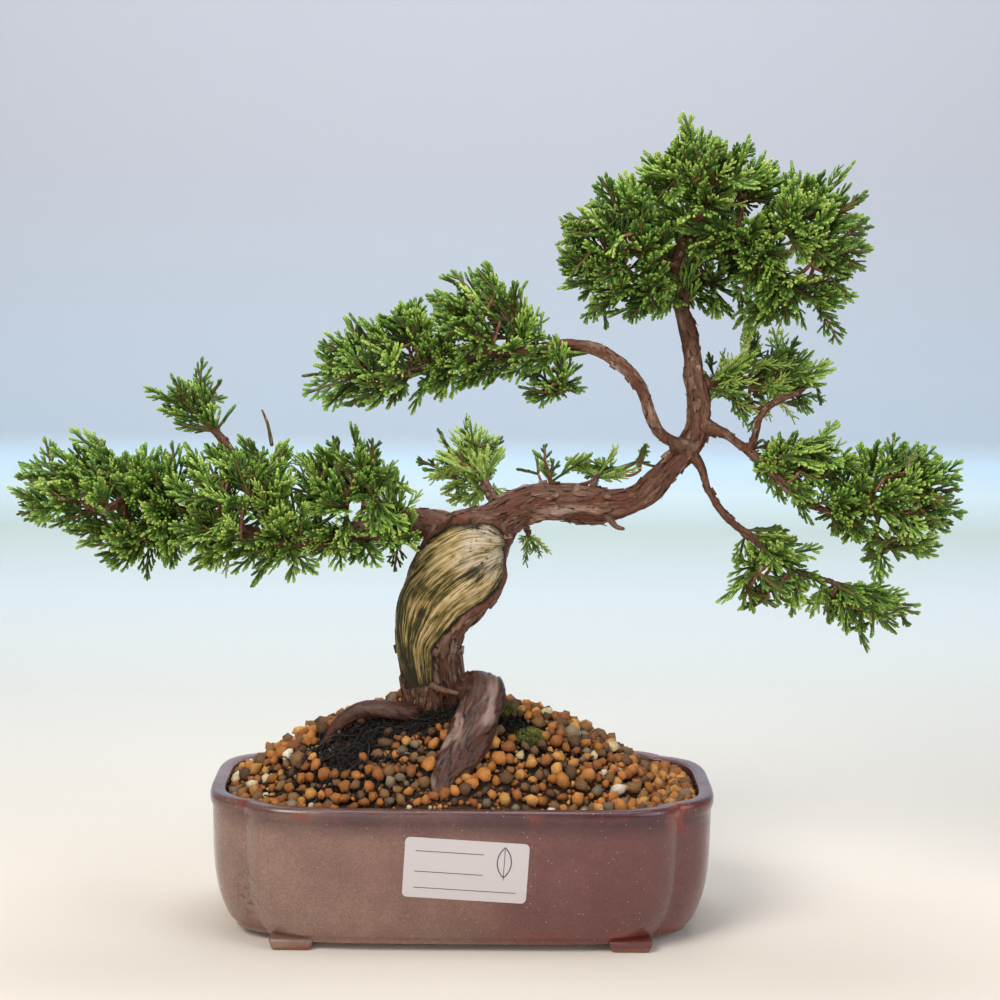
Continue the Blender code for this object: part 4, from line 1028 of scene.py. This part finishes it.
def makeMass(node, look, sprays, needles, number, extra):
    chance = random.Random(1000 + number)
    solid = cadTree(node)
    made, seedCount = growTwigs(node, look, solid, chance)
    wood = Heap()
    for joint in made[seedCount:]:
        start = made[joint["parent"]]["at"]
        end = joint["at"]
        length = (end - start).length
        sag = Vector((chance.uniform(-0.12, 0.12), chance.uniform(-0.12, 0.12), chance.uniform(-0.22, 0.02))) * length
        line = [start.lerp(end, t) + sag * (4 * t * (1 - t)) for t in np.linspace(0, 1, max(4, int(length / mm / 2)))]
        thick = (0.40 + 0.17 * math.sqrt(joint["load"])) * mm
        radii = np.linspace(thick * 1.15, thick * 0.85, len(line)) * (1 + 0.12 * noiseAt(line, 900))
        wood.add(*tubeSkin(line, radii, 6))
    leaves = Heap()
    joints = [joint["at"] for joint in made]
    mesh = nodes[node].data
    mesh.calc_loop_triangles()
    faces = [([mesh.vertices[i].co for i in t.vertices], t.normal.copy(), t.area) for t in mesh.loop_triangles]
    extra = extra + [(treeFoot + Vector(p) * mm, Vector((-0.4, -0.8, -0.4))) for p in look.get("tips", ())]
    targets = extra + spacedOver(faces, look.get("spacing", 6.0) * mm, number, extra)
    root = Vector(stemLines[look["stems"][0]][0])

    def put(base, target, depth, tint):
        reach = (target - base).length / mm
        wantsNeedles = chance.random() < look["needles"]
        pool = needles if wantsNeedles else sprays
        size = min(pool, key=lambda length: abs(length - reach))
        lift = chance.uniform(0.1, 0.7) * mm
        placedSpray(leaves, chance.choice(pool[size]), base, target - base, chance.uniform(-1.1, 1.1),
                    min(max(reach / size, 0.85), 1.12), lift, tint + 0.35 * wantsNeedles, depth)

    for place, facing in targets:
        thin = noise.noise(place * 70 + Vector((number * 3.1, 0, 0)))
        below = facing.z < -0.3 and chance.random() < look.get("bareBelow", 0.4)
        added = (place, facing) in extra
        if not added and (thin < -0.34 or below):
            continue
        way = ((place - root).normalized() * 0.8 + facing * 0.6 + Vector((0, 0, 0.2))).normalized()
        sticksOut = chance.uniform(4, 9) * mm if chance.random() < 0.14 and not added else 0
        over = min(max(chance.gauss(0.2, 1.9), -3), 4) * (0 if added else 1) - 2.5 * max(0, facing.z)
        tip = place + facing * over * mm + way * sticksOut
        base = min(joints, key=lambda joint: abs((joint - tip).length - 17 * mm)
                   - 9 * mm * (tip - joint).normalized().dot(way))
        if (tip - base).length > 24 * mm:
            base = tip + (base - tip).normalized() * 22 * mm
            nearest = min(joints, key=lambda joint: (joint - base).length)
            wood.add(*tubeSkin([nearest.lerp(base, t) for t in (0, 0.35, 0.7, 1)], [0.45 * mm] * 4, 5))
        # Sprays on faces turned down get more depth, which the leaf colour darkens as painted shade.
        put(base, tip, 0.1 + 0.3 * max(0, -facing.z), chance.random() + look.get("pale", 0))
    # Sprays deep inside, at the twig joints, get depth 0.8: painted shade.
    for joint in joints[seedCount:]:
        for _ in range(2):
            out = (joint - root).normalized() * 0.8
            way = (out + Vector((chance.gauss(0, 0.8), chance.gauss(0, 0.8), chance.gauss(0.2, 0.6)))).normalized()
            room = max(insideDepth(solid, joint), 0)
            put(joint, joint + way * min(14 * mm, room + 4 * mm), 0.8, chance.random() * 0.8)
    finishPiece(leaves.build(node + "Sprays", scaleLeaf), "foliage", node)
    finishPiece(wood.build(node + "Twigs", orangeTwig), "bark")
    return sum(len(q) * 2 for q in leaves.quads) + sum(len(t) for t in leaves.triangles), len(targets)


scaleLeaf = makeLeafMaterial()
orangeTwig = makeTwigMaterial()
sprays = {length: [makeSpray(length * mm, 100 * length + seed) for seed in range(sprayLook["variants"])]
          for length in sprayLook["lengths"]}
needles = {length: [makeNeedleSpray(length * mm, 900 + length * 10 + seed)
                    for seed in range(sprayLook["needleVariants"])] for length in (6, 9, 12)}
fills = cloudTips()
total = 0
for number, (node, look) in enumerate(masses.items()):
    triangles, tips = makeMass(node, look, sprays, needles, number, fills[node])
    total += triangles
    print(node, "triangles", triangles, "tips", tips)
print("foliage made,", total, "triangles")


potLook = {
    "wall": 5 * mm, "grooveFromSide": 13.3 * mm, "grooveFromFront": 11.5 * mm, "longLobe": 5.5, "sideLobe": 4.5,
    "grooveSoftness": 360, "footWidth": 12.5 * mm, "footHeight": 2.7 * mm, "footFromFront": 9 * mm,
    "footSpread": (1.2, 1.16), "footEdge": 1.1 * mm, "crease": 38,
    "drainHole": 14 * mm, "drainSpacing": 72 * mm,
}
# The wall's section, as how far in from the plan and how high, in mm: up the outside and down the inside.
potSection = [
    (8.6, 2.7), (8.0, 3.0), (7.4, 5.0), (7.2, 5.3), (6.4, 5.5), (5.4, 7.2), (4.0, 10.7), (2.8, 14.7), (2.0, 18.7),
    (1.4, 23), (1.1, 28), (0.95, 34), (0.9, 40), (0.85, 43.4), (0.65, 44.4), (0.3, 45.1), (0.08, 45.9), (0, 46.8),
    (0.05, 47.6), (0.3, 48.5), (0.9, 49.1), (1.7, 49.2), (3.3, 49.2), (4.1, 49.1), (4.8, 48.6), (5.0, 47.8),
    (5.3, 40), (6, 28), (8, 15), (10, 10), (12, 7.9), (14, 7.7)]
# The rim colour is a painted sheen, the pit colour is partly painted shade, and the grey is partly painted sheen.
glazeColours = {"grey": "#8B6D61", "brown": "#7A564D", "red": "#673B3A", "band": "#3E1F28", "rim": "#4F383F",
                "break": "#7E3728", "clay": "#8C5738", "clayDark": "#7A4529", "pit": "#231416", "speck": "#CDBFB6"}
halfWidth = (potHigh.x - potLow.x) / 2
halfDepth = (potHigh.y - potLow.y) / 2
grooveX = halfWidth - potLook["grooveFromSide"]
grooveY = halfDepth - potLook["grooveFromFront"]


def potRadius(angle, inset):
    longPower, sidePower = potLook["longLobe"], potLook["sideLobe"]
    longReach = grooveX / (1 - (grooveY / halfDepth) ** longPower) ** (1 / longPower)
    sideReach = grooveY / (1 - (grooveX / halfWidth) ** sidePower) ** (1 / sidePower)

    def lobe(halfX, halfY, power):
        across, along = abs(math.cos(angle)) / halfX, abs(math.sin(angle)) / halfY
        return (across ** power + along ** power) ** (-1 / power)

    longLobe = lobe(longReach - inset, halfDepth - inset, longPower)
    sideLobe = lobe(halfWidth - inset, sideReach - inset, sidePower)
    soft = potLook["grooveSoftness"]
    larger = max(longLobe, sideLobe)
    return larger * ((longLobe / larger) ** soft + (sideLobe / larger) ** soft) ** (1 / soft)


def makeGlaze():  # glossy stoneware glaze: grey to red across the pot, its grey on the left partly painted sheen, darker bands, a painted sheen on the rim's top, dark pits with painted shade in the lower grooves, and red where it runs thin
    glaze, add, feed = newMaterial("mottledStonewareGlaze", Coat_Weight=0.3, Coat_Roughness=0.18,
                                   Specular_IOR_Level=0.5)
    coords = add("TexCoord")
    placed = add("VectorMath", coords, (potMiddle.x, potMiddle.y, 0), operation="SUBTRACT")
    x, y, z = add("SeparateXYZ", placed, read=("X", "Y", "Z"))
    between = partial(add, "MapRange")

    def cloud(scale, detail, rough=0.55, stretch=(1, 1, 1)):
        return add("TexNoise", add("Mapping", coords, stretch), scale, detail, rough)

    broad, mottle, fine = cloud(26, 3), cloud(120, 2, 0.5), cloud(1500, 2, 0.6)
    runs = cloud(60, 3, 0.5, (1, 1, 0.16))  # the glaze has run down a little
    # Grey at the left, red at the right: partly the glaze's own colour, partly a painted sheen on the left, the side
    # the key light falls on.
    body = add("ValToRGB", between(x, -0.07, 0.07) + (broad - 0.5) * 0.9, stops=[
        (0.12, glazeColours["grey"]), (0.48, glazeColours["brown"]), (0.85, glazeColours["red"])])
    light = between(mottle * 0.6 + runs * 0.4, 0.35, 0.65, 0.88, 1.1) * between(fine, 0.36, 0.64, 0.8, 1.18)
    colour = add("Mix", 1.0, body, add("CombineColor", light, light, light), blend_type="MULTIPLY")
    band = between(z, 0.039, 0.0445) * between(z, 0.0489, 0.0480) * between(runs, 0.3, 0.6, 0.55, 1.0)
    # The rim's top gets a painted lilac sheen.
    rim = between(z, 0.0480, 0.0489) * between(mottle, 0.35, 0.6, 0.5, 1.0)
    nearX, nearY = abs(x) - grooveX, abs(y) - grooveY
    groove = between((nearX * nearX + nearY * nearY).root(), 0.0075, 0.0015)
    corner = groove * between(z, 0.036, 0.043)
    edge = between(z, 0.0440, 0.0455) * between(z, 0.0488, 0.0478)
    lowEdge = between(z, 0.0092, 0.006) * between(z, 0.003, 0.005) * between(broad, 0.45, 0.62)
    breaks = (corner * between(mottle, 0.48, 0.6)).larger(
        edge * (between(broad, 0.56, 0.66) * between(mottle, 0.5, 0.6))).larger(lowEdge * 0.65)
    # Dark pits low in the grooves: partly real pits, partly painted shade in the crease.
    pitsAndGrooveShade = groove * between(z, 0.034, 0.012) * between(cloud(520, 3, 0.7), 0.52, 0.6)
    away, tone = add("TexVoronoi", coords, 760, read=("Distance", "Color"))
    specks = between(away, 0.16, 0.10) * between(add("SeparateColor", tone), 0.80, 0.82)
    bare = between(z + (mottle - 0.5) * 0.003, 0.0019, 0.0010).larger(0.0)
    clay = add("Mix", fine, glazeColours["clayDark"], glazeColours["clay"])
    for share, over in ((band * 0.8, glazeColours["band"]), (rim * 0.75, glazeColours["rim"]),
                        (breaks, glazeColours["break"]), (pitsAndGrooveShade, glazeColours["pit"]),
                        (specks * 0.7, glazeColours["speck"]), (bare, clay)):
        colour = add("Mix", share, colour, over)
    feed(Base_Color=colour, Roughness=between(mottle, 0.35, 0.65, 0.18, 0.3) + bare * 0.4,
         Normal=add("Bump", broad * 2.2 + (mottle + fine * 0.25), 0.35, 0.35 * mm))
    return glaze


def applyTool(piece, kind, **settings):
    tool = piece.modifiers.new(kind.lower(), kind)
    for key, value in settings.items():
        setattr(tool, key, value)
    bpy.context.view_layer.objects.active = piece
    bpy.ops.object.modifier_apply(modifier=tool.name)


def makePot():
    groove = math.atan2(grooveY, grooveX)
    quarter = [groove * (1 - (1 - i / 30) ** 1.6) for i in range(30)]
    quarter += [groove + (math.pi / 2 - groove) * (i / 66) ** 1.5 for i in range(66)]
    half = quarter + [math.pi - angle for angle in reversed(quarter[1:] + [math.pi / 2])]
    angles = half + [angle + math.pi for angle in half]
    top = max(height for inset, height in potSection)
    points = [(potMiddle.x + potRadius(a, inset * mm) * math.cos(a), potMiddle.y + potRadius(a, inset * mm)
               * math.sin(a), height / top * rimHeight) for inset, height in potSection for a in angles]
    around, rings = len(angles), len(potSection)
    faces = [(r + i, r + (i + 1) % around, r + around + (i + 1) % around, r + around + i)
             for r in range(0, (rings - 1) * around, around) for i in range(around)]
    faces += [tuple(reversed(range(around))), tuple(range((rings - 1) * around, rings * around))]
    shape = bpy.data.meshes.new("glazedPot")
    shape.from_pydata(points, [], faces)
    shape.materials.append(glaze)
    pot = bpy.data.objects.new("glazedPot", shape)
    bpy.context.scene.collection.objects.link(pot)
    wide, high = potLook["footWidth"], potLook["footHeight"]
    footX = grooveX - potLook["footFromFront"] - wide / 2
    footY = halfDepth - potLook["footFromFront"] - wide / 2
    cutters = []
    for sideX, sideY in ((-1, -1), (1, -1), (1, 1), (-1, 1)):
        bpy.ops.mesh.primitive_cube_add(size=1, location=(potMiddle.x + sideX * footX, potMiddle.y + sideY * footY,
                                                          high * 0.75))
        foot = bpy.context.object
        foot.scale = (wide, wide, high * 1.5)
        bpy.ops.object.transform_apply(location=False, rotation=False, scale=True)
        for corner in foot.data.vertices:
            if corner.co.z > 0:  # its sides spread into the wall's curve
                corner.co.x *= potLook["footSpread"][0]
                corner.co.y *= potLook["footSpread"][1]
        applyTool(foot, "BEVEL", width=potLook["footEdge"], segments=4)
        cutters.append(("UNION", foot))
    for side in (-1, 1):
        bpy.ops.mesh.primitive_cylinder_add(vertices=72, radius=potLook["drainHole"] / 2, depth=20 * mm, location=(
            potMiddle.x + side * potLook["drainSpacing"] / 2, potMiddle.y, 5 * mm), rotation=(0, 0, 0.03))
        cutters.append(("DIFFERENCE", bpy.context.object))
    for operation, cutter in cutters:
        applyTool(pot, "BOOLEAN", operation=operation, object=cutter, solver="EXACT")
        bpy.data.objects.remove(cutter, do_unlink=True)
    shape.materials.clear()
    shape.materials.append(glaze)
    shape.shade_smooth()
    shape.set_sharp_from_angle(angle=math.radians(potLook["crease"]))
    finishPiece(pot, "glaze", "pot")
    return pot


glaze = makeGlaze()
pot = makePot()
print("pot made:", len(pot.data.polygons), "faces")


labelLook = {"width": 40 * mm, "height": 20 * mm, "corner": 1.6 * mm, "tilt": 3.3, "paper": "#D2CCCE",
             "pulp": "#C6C0C2", "ink": "#4A4A4C",
             "rules": ((5.6, -16.5, 5.5), (-1.2, -16.5, 5.5), (-6.6, -16.5, 16.5)), "leaf": (12.2, 3.4, 5.2)}


def makeLabelPaper():  # coated paper, slightly shiny, with printed rules and a leaf; the positions are in mm
    paper, add, feed = newMaterial("coatedLabelPaper", Roughness=0.42)
    spot = add("Attribute", attribute_name="onLabel", read="Vector")
    x, z = add("SeparateXYZ", spot, read=("X", "Z"))
    leafX, leafZ, half = labelLook["leaf"]
    up = z - leafZ
    sides = []
    for side in (-1, 1):
        away = x - (leafX + side * half * 0.83)
        sides.append((away * away + up * up).root())
    outline = abs(sides[0].larger(sides[1]) - (half * 1.3 - 0.2)) < 0.2
    rib = (abs(x - leafX) < 0.13) * (abs(z - (leafZ - 0.7)) < half)
    ink = None
    for height, start, end in labelLook["rules"]:
        line = (x > start) * (x < end) * (abs(z - height) < 0.14)
        ink = ink.larger(line) if ink else line
    pulp = add("TexNoise", spot, 3.5, 4)
    blank = add("Mix", pulp, labelLook["paper"], labelLook["pulp"])
    feed(Base_Color=add("Mix", ink.larger(outline.larger(rib)), blank,
                        labelLook["ink"]), Normal=add("Bump", pulp, 0.15, 0.05 * mm))
    return paper


def makeLabel():
    low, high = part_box("label")
    middle = (low + high) / 2
    wide, tall, corner = labelLook["width"] / 2, labelLook["height"] / 2, labelLook["corner"]
    bpy.ops.mesh.primitive_grid_add(x_subdivisions=100, y_subdivisions=50, size=2)
    label = bpy.context.object
    label.name = label.data.name = "plantLabel"
    wall = BVHTree.FromObject(pot, bpy.context.evaluated_depsgraph_get())
    tilt = math.radians(labelLook["tilt"])
    spots = []
    for vertex in label.data.vertices:
        x, z = vertex.co.x * wide, vertex.co.y * tall
        overX, overZ = abs(x) - (wide - corner), abs(z) - (tall - corner)
        if overX > 0 and overZ > 0 and math.hypot(overX, overZ) > corner:  # the corners are rounded
            shrink = corner / math.hypot(overX, overZ)
            x = math.copysign(wide - corner + overX * shrink, x)
            z = math.copysign(tall - corner + overZ * shrink, z)
        spots.append((x / mm, 0, z / mm))
        place = Vector((middle.x + x * math.cos(tilt) + z * math.sin(tilt), 0, middle.z + z * math.cos(tilt)
                        - x * math.sin(tilt)))
        hit = wall.ray_cast(Vector((place.x, potLow.y - 0.1, place.z)), Vector((0, 1, 0)))[0]
        vertex.co = (place.x, hit.y - 0.06 * mm, place.z)
    setAttribute(label.data, "onLabel", spots, "FLOAT_VECTOR")
    label.data.materials.append(makeLabelPaper())
    applyTool(label, "SOLIDIFY", thickness=0.16 * mm, offset=1)
    label.data.shade_smooth()
    label.data.set_sharp_from_angle(angle=math.radians(40))
    finishPiece(label, "label_paper", "label")


makeLabel()
print("label made")


granuleLook = {"shapes": 16, "smallest": 0.9, "largest": 3.1, "sunk": 0.25, "apart": 0.57}
granuleColours = {"akadama": ("#BC7A3A", "#A6672B", "#C9904B", "#965B2B"), "brown": ("#755434", "#835F38", "#5E4229"),
                  "pumice": ("#DCCBA8", "#CDB98F", "#E6DBC4"), "grey": ("#8C7A62", "#6E604E", "#7A6C54")}


def insidePot(x, y, margin):
    return math.hypot(x, y) < potRadius(math.atan2(y, x), potLook["wall"] + 0.4 * mm + margin)


def peatShare(x, y):  # where bare peat and roots show between the granules, from 0 to 1
    left = math.exp(-((x + 36 * mm) / (21 * mm)) ** 2 - ((y + 18 * mm) / (14 * mm)) ** 2)
    top = 1.3 * math.exp(-((x + 14 * mm) / (23 * mm)) ** 2 - ((y + 9 * mm) / (15 * mm)) ** 2)
    right = 0.9 * math.exp(-((x - 17 * mm) / (17 * mm)) ** 2 - ((y + 15 * mm) / (12 * mm)) ** 2)
    return max(left, top, right) * float(smoothStep(-40 * mm, -31 * mm, y))


def isInside(solid, place):  # straight down from inside a solid, the first face met is one of its undersides
    hit, facing = solid.ray_cast(place, Vector((0, 0, -1)))[:2]
    return hit is not None and facing.z < 0


def lumpShapes(subdivisions, count, roughness, seed):
    shapes = []
    for number in range(count):
        bpy.ops.mesh.primitive_ico_sphere_add(subdivisions=subdivisions, radius=1)
        ball = bpy.context.object
        points = np.array([v.co for v in ball.data.vertices])
        lumps = 1 + roughness * noiseAt(points, 0.9, seed + number) + 0.4 * roughness * noiseAt(points, 2.2, seed)
        points = points * lumps[:, None]
        chance = random.Random(seed + number)
        for _ in range(8):  # flats, as broken clay has
            facing = np.array(Vector([chance.gauss(0, 1) for _ in range(3)]).normalized())
            over = np.maximum(points @ facing - chance.uniform(0.55, 0.8), 0)
            points = points - over[:, None] * facing * 0.9
        shapes.append((points, np.array([tuple(p.vertices) for p in ball.data.polygons])))
        bpy.data.objects.remove(ball, do_unlink=True)
    return shapes


def makeGrainMaterial(name, roughness, grain):  # dry and rough, in the colour that each lump carries
    clay, add, feed = newMaterial(name, Roughness=roughness)
    coords = add("TexCoord")
    level = add("TexNoise", coords, grain, 4, 0.65) * 0.6 + add("TexNoise", coords, 330, 2) * 0.4
    shade = add("MapRange", level, 0.36, 0.64, 0.6, 1.25)
    feed(Base_Color=add("Mix", 1.0, add("Attribute", attribute_name="colour", read="Vector"),
                        add("CombineColor", shade, shade, shade), blend_type="MULTIPLY"),
         Normal=add("Bump", level, 0.8, 0.25 * mm))
    return clay


def scatterLumps(name, material, shapes, tries, sizeOf, coloursOf, sunk, seed, blockers):
    chance = random.Random(seed)
    cells, cell, heap = {}, 4 * mm, Heap()
    for attempt in range(tries):
        x = chance.uniform(-halfWidth, halfWidth)
        y = chance.uniform(-halfDepth, halfDepth)
        size = sizeOf(x, y, chance, attempt / tries)
        if size is None or not insidePot(x, y, size * 0.75):
            continue
        spot = (int(x // cell), int(y // cell))
        near = [other for i in (-1, 0, 1) for j in (-1, 0, 1) for other in cells.get((spot[0] + i, spot[1] + j), ())]
        if any(math.hypot(x - ox, y - oy) < granuleLook["apart"] * (size + os) for ox, oy, os in near):
            continue
        centre = Vector((potMiddle.x + x, potMiddle.y + y, soilHeight(x, y) + size * (1 - 2 * sunk)
                         + chance.uniform(-0.1, 0.35) * size))
        if any(isInside(solid, centre) or (solid.find_nearest(centre)[0] - centre).length < 0.35 * size
               for solid in blockers):
            continue
        cells.setdefault(spot, []).append((x, y, size))
        points, faces = shapes[chance.randrange(len(shapes))]
        turn = Matrix.Rotation(chance.uniform(0, math.tau), 3, Vector([chance.gauss(0, 1) for _ in range(3)]))
        stretch = np.array([chance.uniform(0.9, 1.25), chance.uniform(0.85, 1.1), chance.uniform(0.72, 0.95)]) * size
        placed = (points * stretch) @ np.array(turn).T + np.array(centre)
        tone = chance.uniform(0.82, 1.15)
        colour = np.array(linearColour(coloursOf(x, y, chance))[:3]) * tone
        heap.add(placed, np.empty((0, 4), int), faces, colour=np.tile(colour, (len(points), 1)))
    return heap.build(name, material)


def granuleColour(x, y, chance):
    pale = 0.03 + 0.3 * (y < -37 * mm) + 0.2 * (x < -62 * mm and y < -15 * mm)
    kinds = [("pumice", pale), ("akadama", 0.62), ("brown", 0.3), ("grey", 0.05)]
    kind = chance.choices([k for k, weight in kinds], [weight for k, weight in kinds])[0]
    return chance.choice(granuleColours[kind])


def granuleSize(x, y, chance, progress):  # the largest go in first and the small ones fill the gaps
    if chance.random() < peatShare(x, y) * 1.25:
        return None
    small, large = granuleLook["smallest"], granuleLook["largest"]
    return (small + (large - small) * max(0, 1 - 1.5 * progress) * chance.uniform(0.5, 1.1)) * mm


def crumbSize(x, y, chance, progress):
    return chance.uniform(0.35, 0.95) * mm if chance.random() < 0.25 + peatShare(x, y) else None


def crumbColour(x, y, chance):
    damp = chance.random() < 2.2 * peatShare(x, y)
    return chance.choice(("#1C130D", "#140D09", "#2A1D13", "#0F0A07") if damp else ("#6B4A2E", "#835A33", "#4A3322"))


def makePeatMaterial():  # wet dark peat under the tree, and brown clay dust away from it
    peat, add, feed = newMaterial("dampPeat", Roughness=0.85)
    coords = add("TexCoord")
    clods = add("TexNoise", coords, 420, 6, 0.7)
    dark = add("ValToRGB", clods, stops=[(0.3, "#0C0806"), (0.5, "#1A110B"), (0.72, "#2E2015")])
    brown = add("ValToRGB", clods, stops=[(0.3, "#2E1D12"), (0.5, "#5E3F26"), (0.7, "#80582F")])
    flat = add("Mapping", coords, (1 / 0.046, 1 / 0.028, 0),
               (-(potMiddle.x - 0.014) / 0.046, -(potMiddle.y - 0.010) / 0.028, 0))
    away = add("VectorMath", flat, operation="LENGTH", read="Value")
    feed(Base_Color=add("Mix", add("MapRange", away + clods * 0.5, 1.1, 1.5), dark, brown),
         Normal=add("Bump", clods, 1.0, 1.2 * mm))
    return peat


# Fine roots on the soil: how many, and where they lie in mm from the pot's middle, as a middle and a spread.
hairRootLook = {"left": (118, (-34, 11), (-20, 7)), "right": (32, (20, 16), (-18, 6)), "step": 1.7 * mm}


def makeHairRoots(material):
    chance = random.Random(77)
    heap = Heap()
    number = 0
    for count, acrossAt, backAt in (hairRootLook["left"], hairRootLook["right"]):
        for _ in range(count):
            x, y = chance.gauss(*acrossAt) * mm, chance.gauss(*backAt) * mm
            heading = chance.uniform(0, math.tau)
            line = []
            lift = chance.uniform(0.6, 2.6) * mm
            for step in range(chance.randrange(7, 16)):
                if not insidePot(x, y, 1 * mm):
                    break
                arch = math.sin(step * 0.55 + number) * 0.9 * mm
                line.append((potMiddle.x + x, potMiddle.y + y, soilHeight(x, y) + lift + arch))
                heading += chance.uniform(-0.55, 0.55)
                x += math.cos(heading) * hairRootLook["step"]
                y += math.sin(heading) * hairRootLook["step"]
            if len(line) > 4:
                radius = chance.uniform(0.13, 0.42 if number % 5 == 0 else 0.24) * mm
                heap.add(*tubeSkin(line, np.linspace(radius, radius * 0.5, len(line)), 5))
            number += 1
    finishPiece(heap.build("hairRoots", material), "root_bark")


mossLook = {"blades": 620, "length": (0.5 * mm, 1.3 * mm)}


def makeMoss(node, material):
    low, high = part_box(node)
    middle, half = (low + high) / 2, (high - low) / 2
    solid = cadTree(node)
    chance = random.Random(len(node))
    bpy.ops.mesh.primitive_ico_sphere_add(subdivisions=4, radius=1)
    ball = bpy.context.object
    points = np.array([tuple(middle + v.co * half * 0.88) for v in ball.data.vertices])
    points += noiseAt(points, 380, 1)[:, None] * (0.9, 0.9, 1.6) * np.array([mm])
    heap = Heap()
    heap.add(points, np.empty((0, 4), int), np.array([tuple(p.vertices) for p in ball.data.polygons]), tip=0.15)
    bpy.data.objects.remove(ball, do_unlink=True)
    for _ in range(mossLook["blades"]):
        way = Vector((chance.gauss(0, 1), chance.gauss(0, 1), abs(chance.gauss(0, 1)))).normalized()
        root = middle + way * half * 0.86
        if insideDepth(solid, root) < -0.5 * mm:
            continue
        lean = (way + Vector((chance.uniform(-0.6, 0.6), chance.uniform(-0.6, 0.6), 0.7))).normalized()
        length = chance.uniform(*mossLook["length"])
        blade = tubeSkin([root + lean * length * t for t in (0, 0.55, 1)], [0.16 * mm, 0.13 * mm, 0.05 * mm], 3)
        heap.add(*blade, tip=alongTube([0.1, 0.6, 1.0], 3))
    finishPiece(heap.build(node + "Cushion", material), "moss", node)


def makeMossMaterial():  # dull, dark at the base and yellow-green at the tips of the blades
    moss, add, feed = newMaterial("cushionMoss", Roughness=0.8)
    level = add("Attribute", attribute_name="tip") * 0.6 + add("TexNoise", add("TexCoord"), 500, 3) * 0.5
    feed(Base_Color=add("ValToRGB", level, stops=[(0.2, "#26280F"), (0.55, "#5A6223"), (0.95, "#A0A648")]))
    return moss


def makeWornMaterial(name, scale, detail, colours, roughness, **constants):  # duller where it is worn or dusty
    made, add, feed = newMaterial(name, **constants)
    wear = add("TexNoise", add("TexCoord"), scale, detail)
    feed(Base_Color=add("Mix", wear, *colours), Roughness=add("MapRange", wear, 0, 1, *roughness))
    return made


blockers = [cadTree(node) for node in ("trunk", "root_front", "root_left", "root_back")]
granules = scatterLumps("soilGranules", makeGrainMaterial("firedClayGranules", 0.8, 2100),
                        lumpShapes(1, granuleLook["shapes"], 0.34, 5), 60000, granuleSize, granuleColour,
                        granuleLook["sunk"], 21, blockers)
finishPiece(granules, "granules")
print("granules:", len(granules.data.polygons), "faces")
crumbs = scatterLumps("peatCrumbs", makeGrainMaterial("darkPeatCrumbs", 0.9, 2600), lumpShapes(1, 8, 0.4, 61), 16000,
                      crumbSize, crumbColour, 0.3, 31, blockers)
finishPiece(crumbs, "peat")
makeHairRoots(rootBark)
mossMaterial = makeMossMaterial()
for node in ("moss_front", "moss_trunk", "moss_back"):
    makeMoss(node, mossMaterial)
peat = makePeatMaterial()
wire = makeWornMaterial("dulledAluminiumWire", 600, 3, ("#7C5A4C", "#B8A496"), (0.3, 0.6), Metallic=1.0)
mesh = makeWornMaterial("blackPlasticMesh", 700, 4, ("#15161A", "#2E2B29"), (0.4, 0.7))
for names, finish in ((("soil_bed", "root_ball"), peat), (("anchor_wire", "mesh_clip_left", "mesh_clip_right"), wire),
                      (("drain_mesh_left", "drain_mesh_right"), mesh)):
    for name in names:
        for holder in nodes[name].material_slots:
            holder.material = finish
print("soil, moss and wires made")
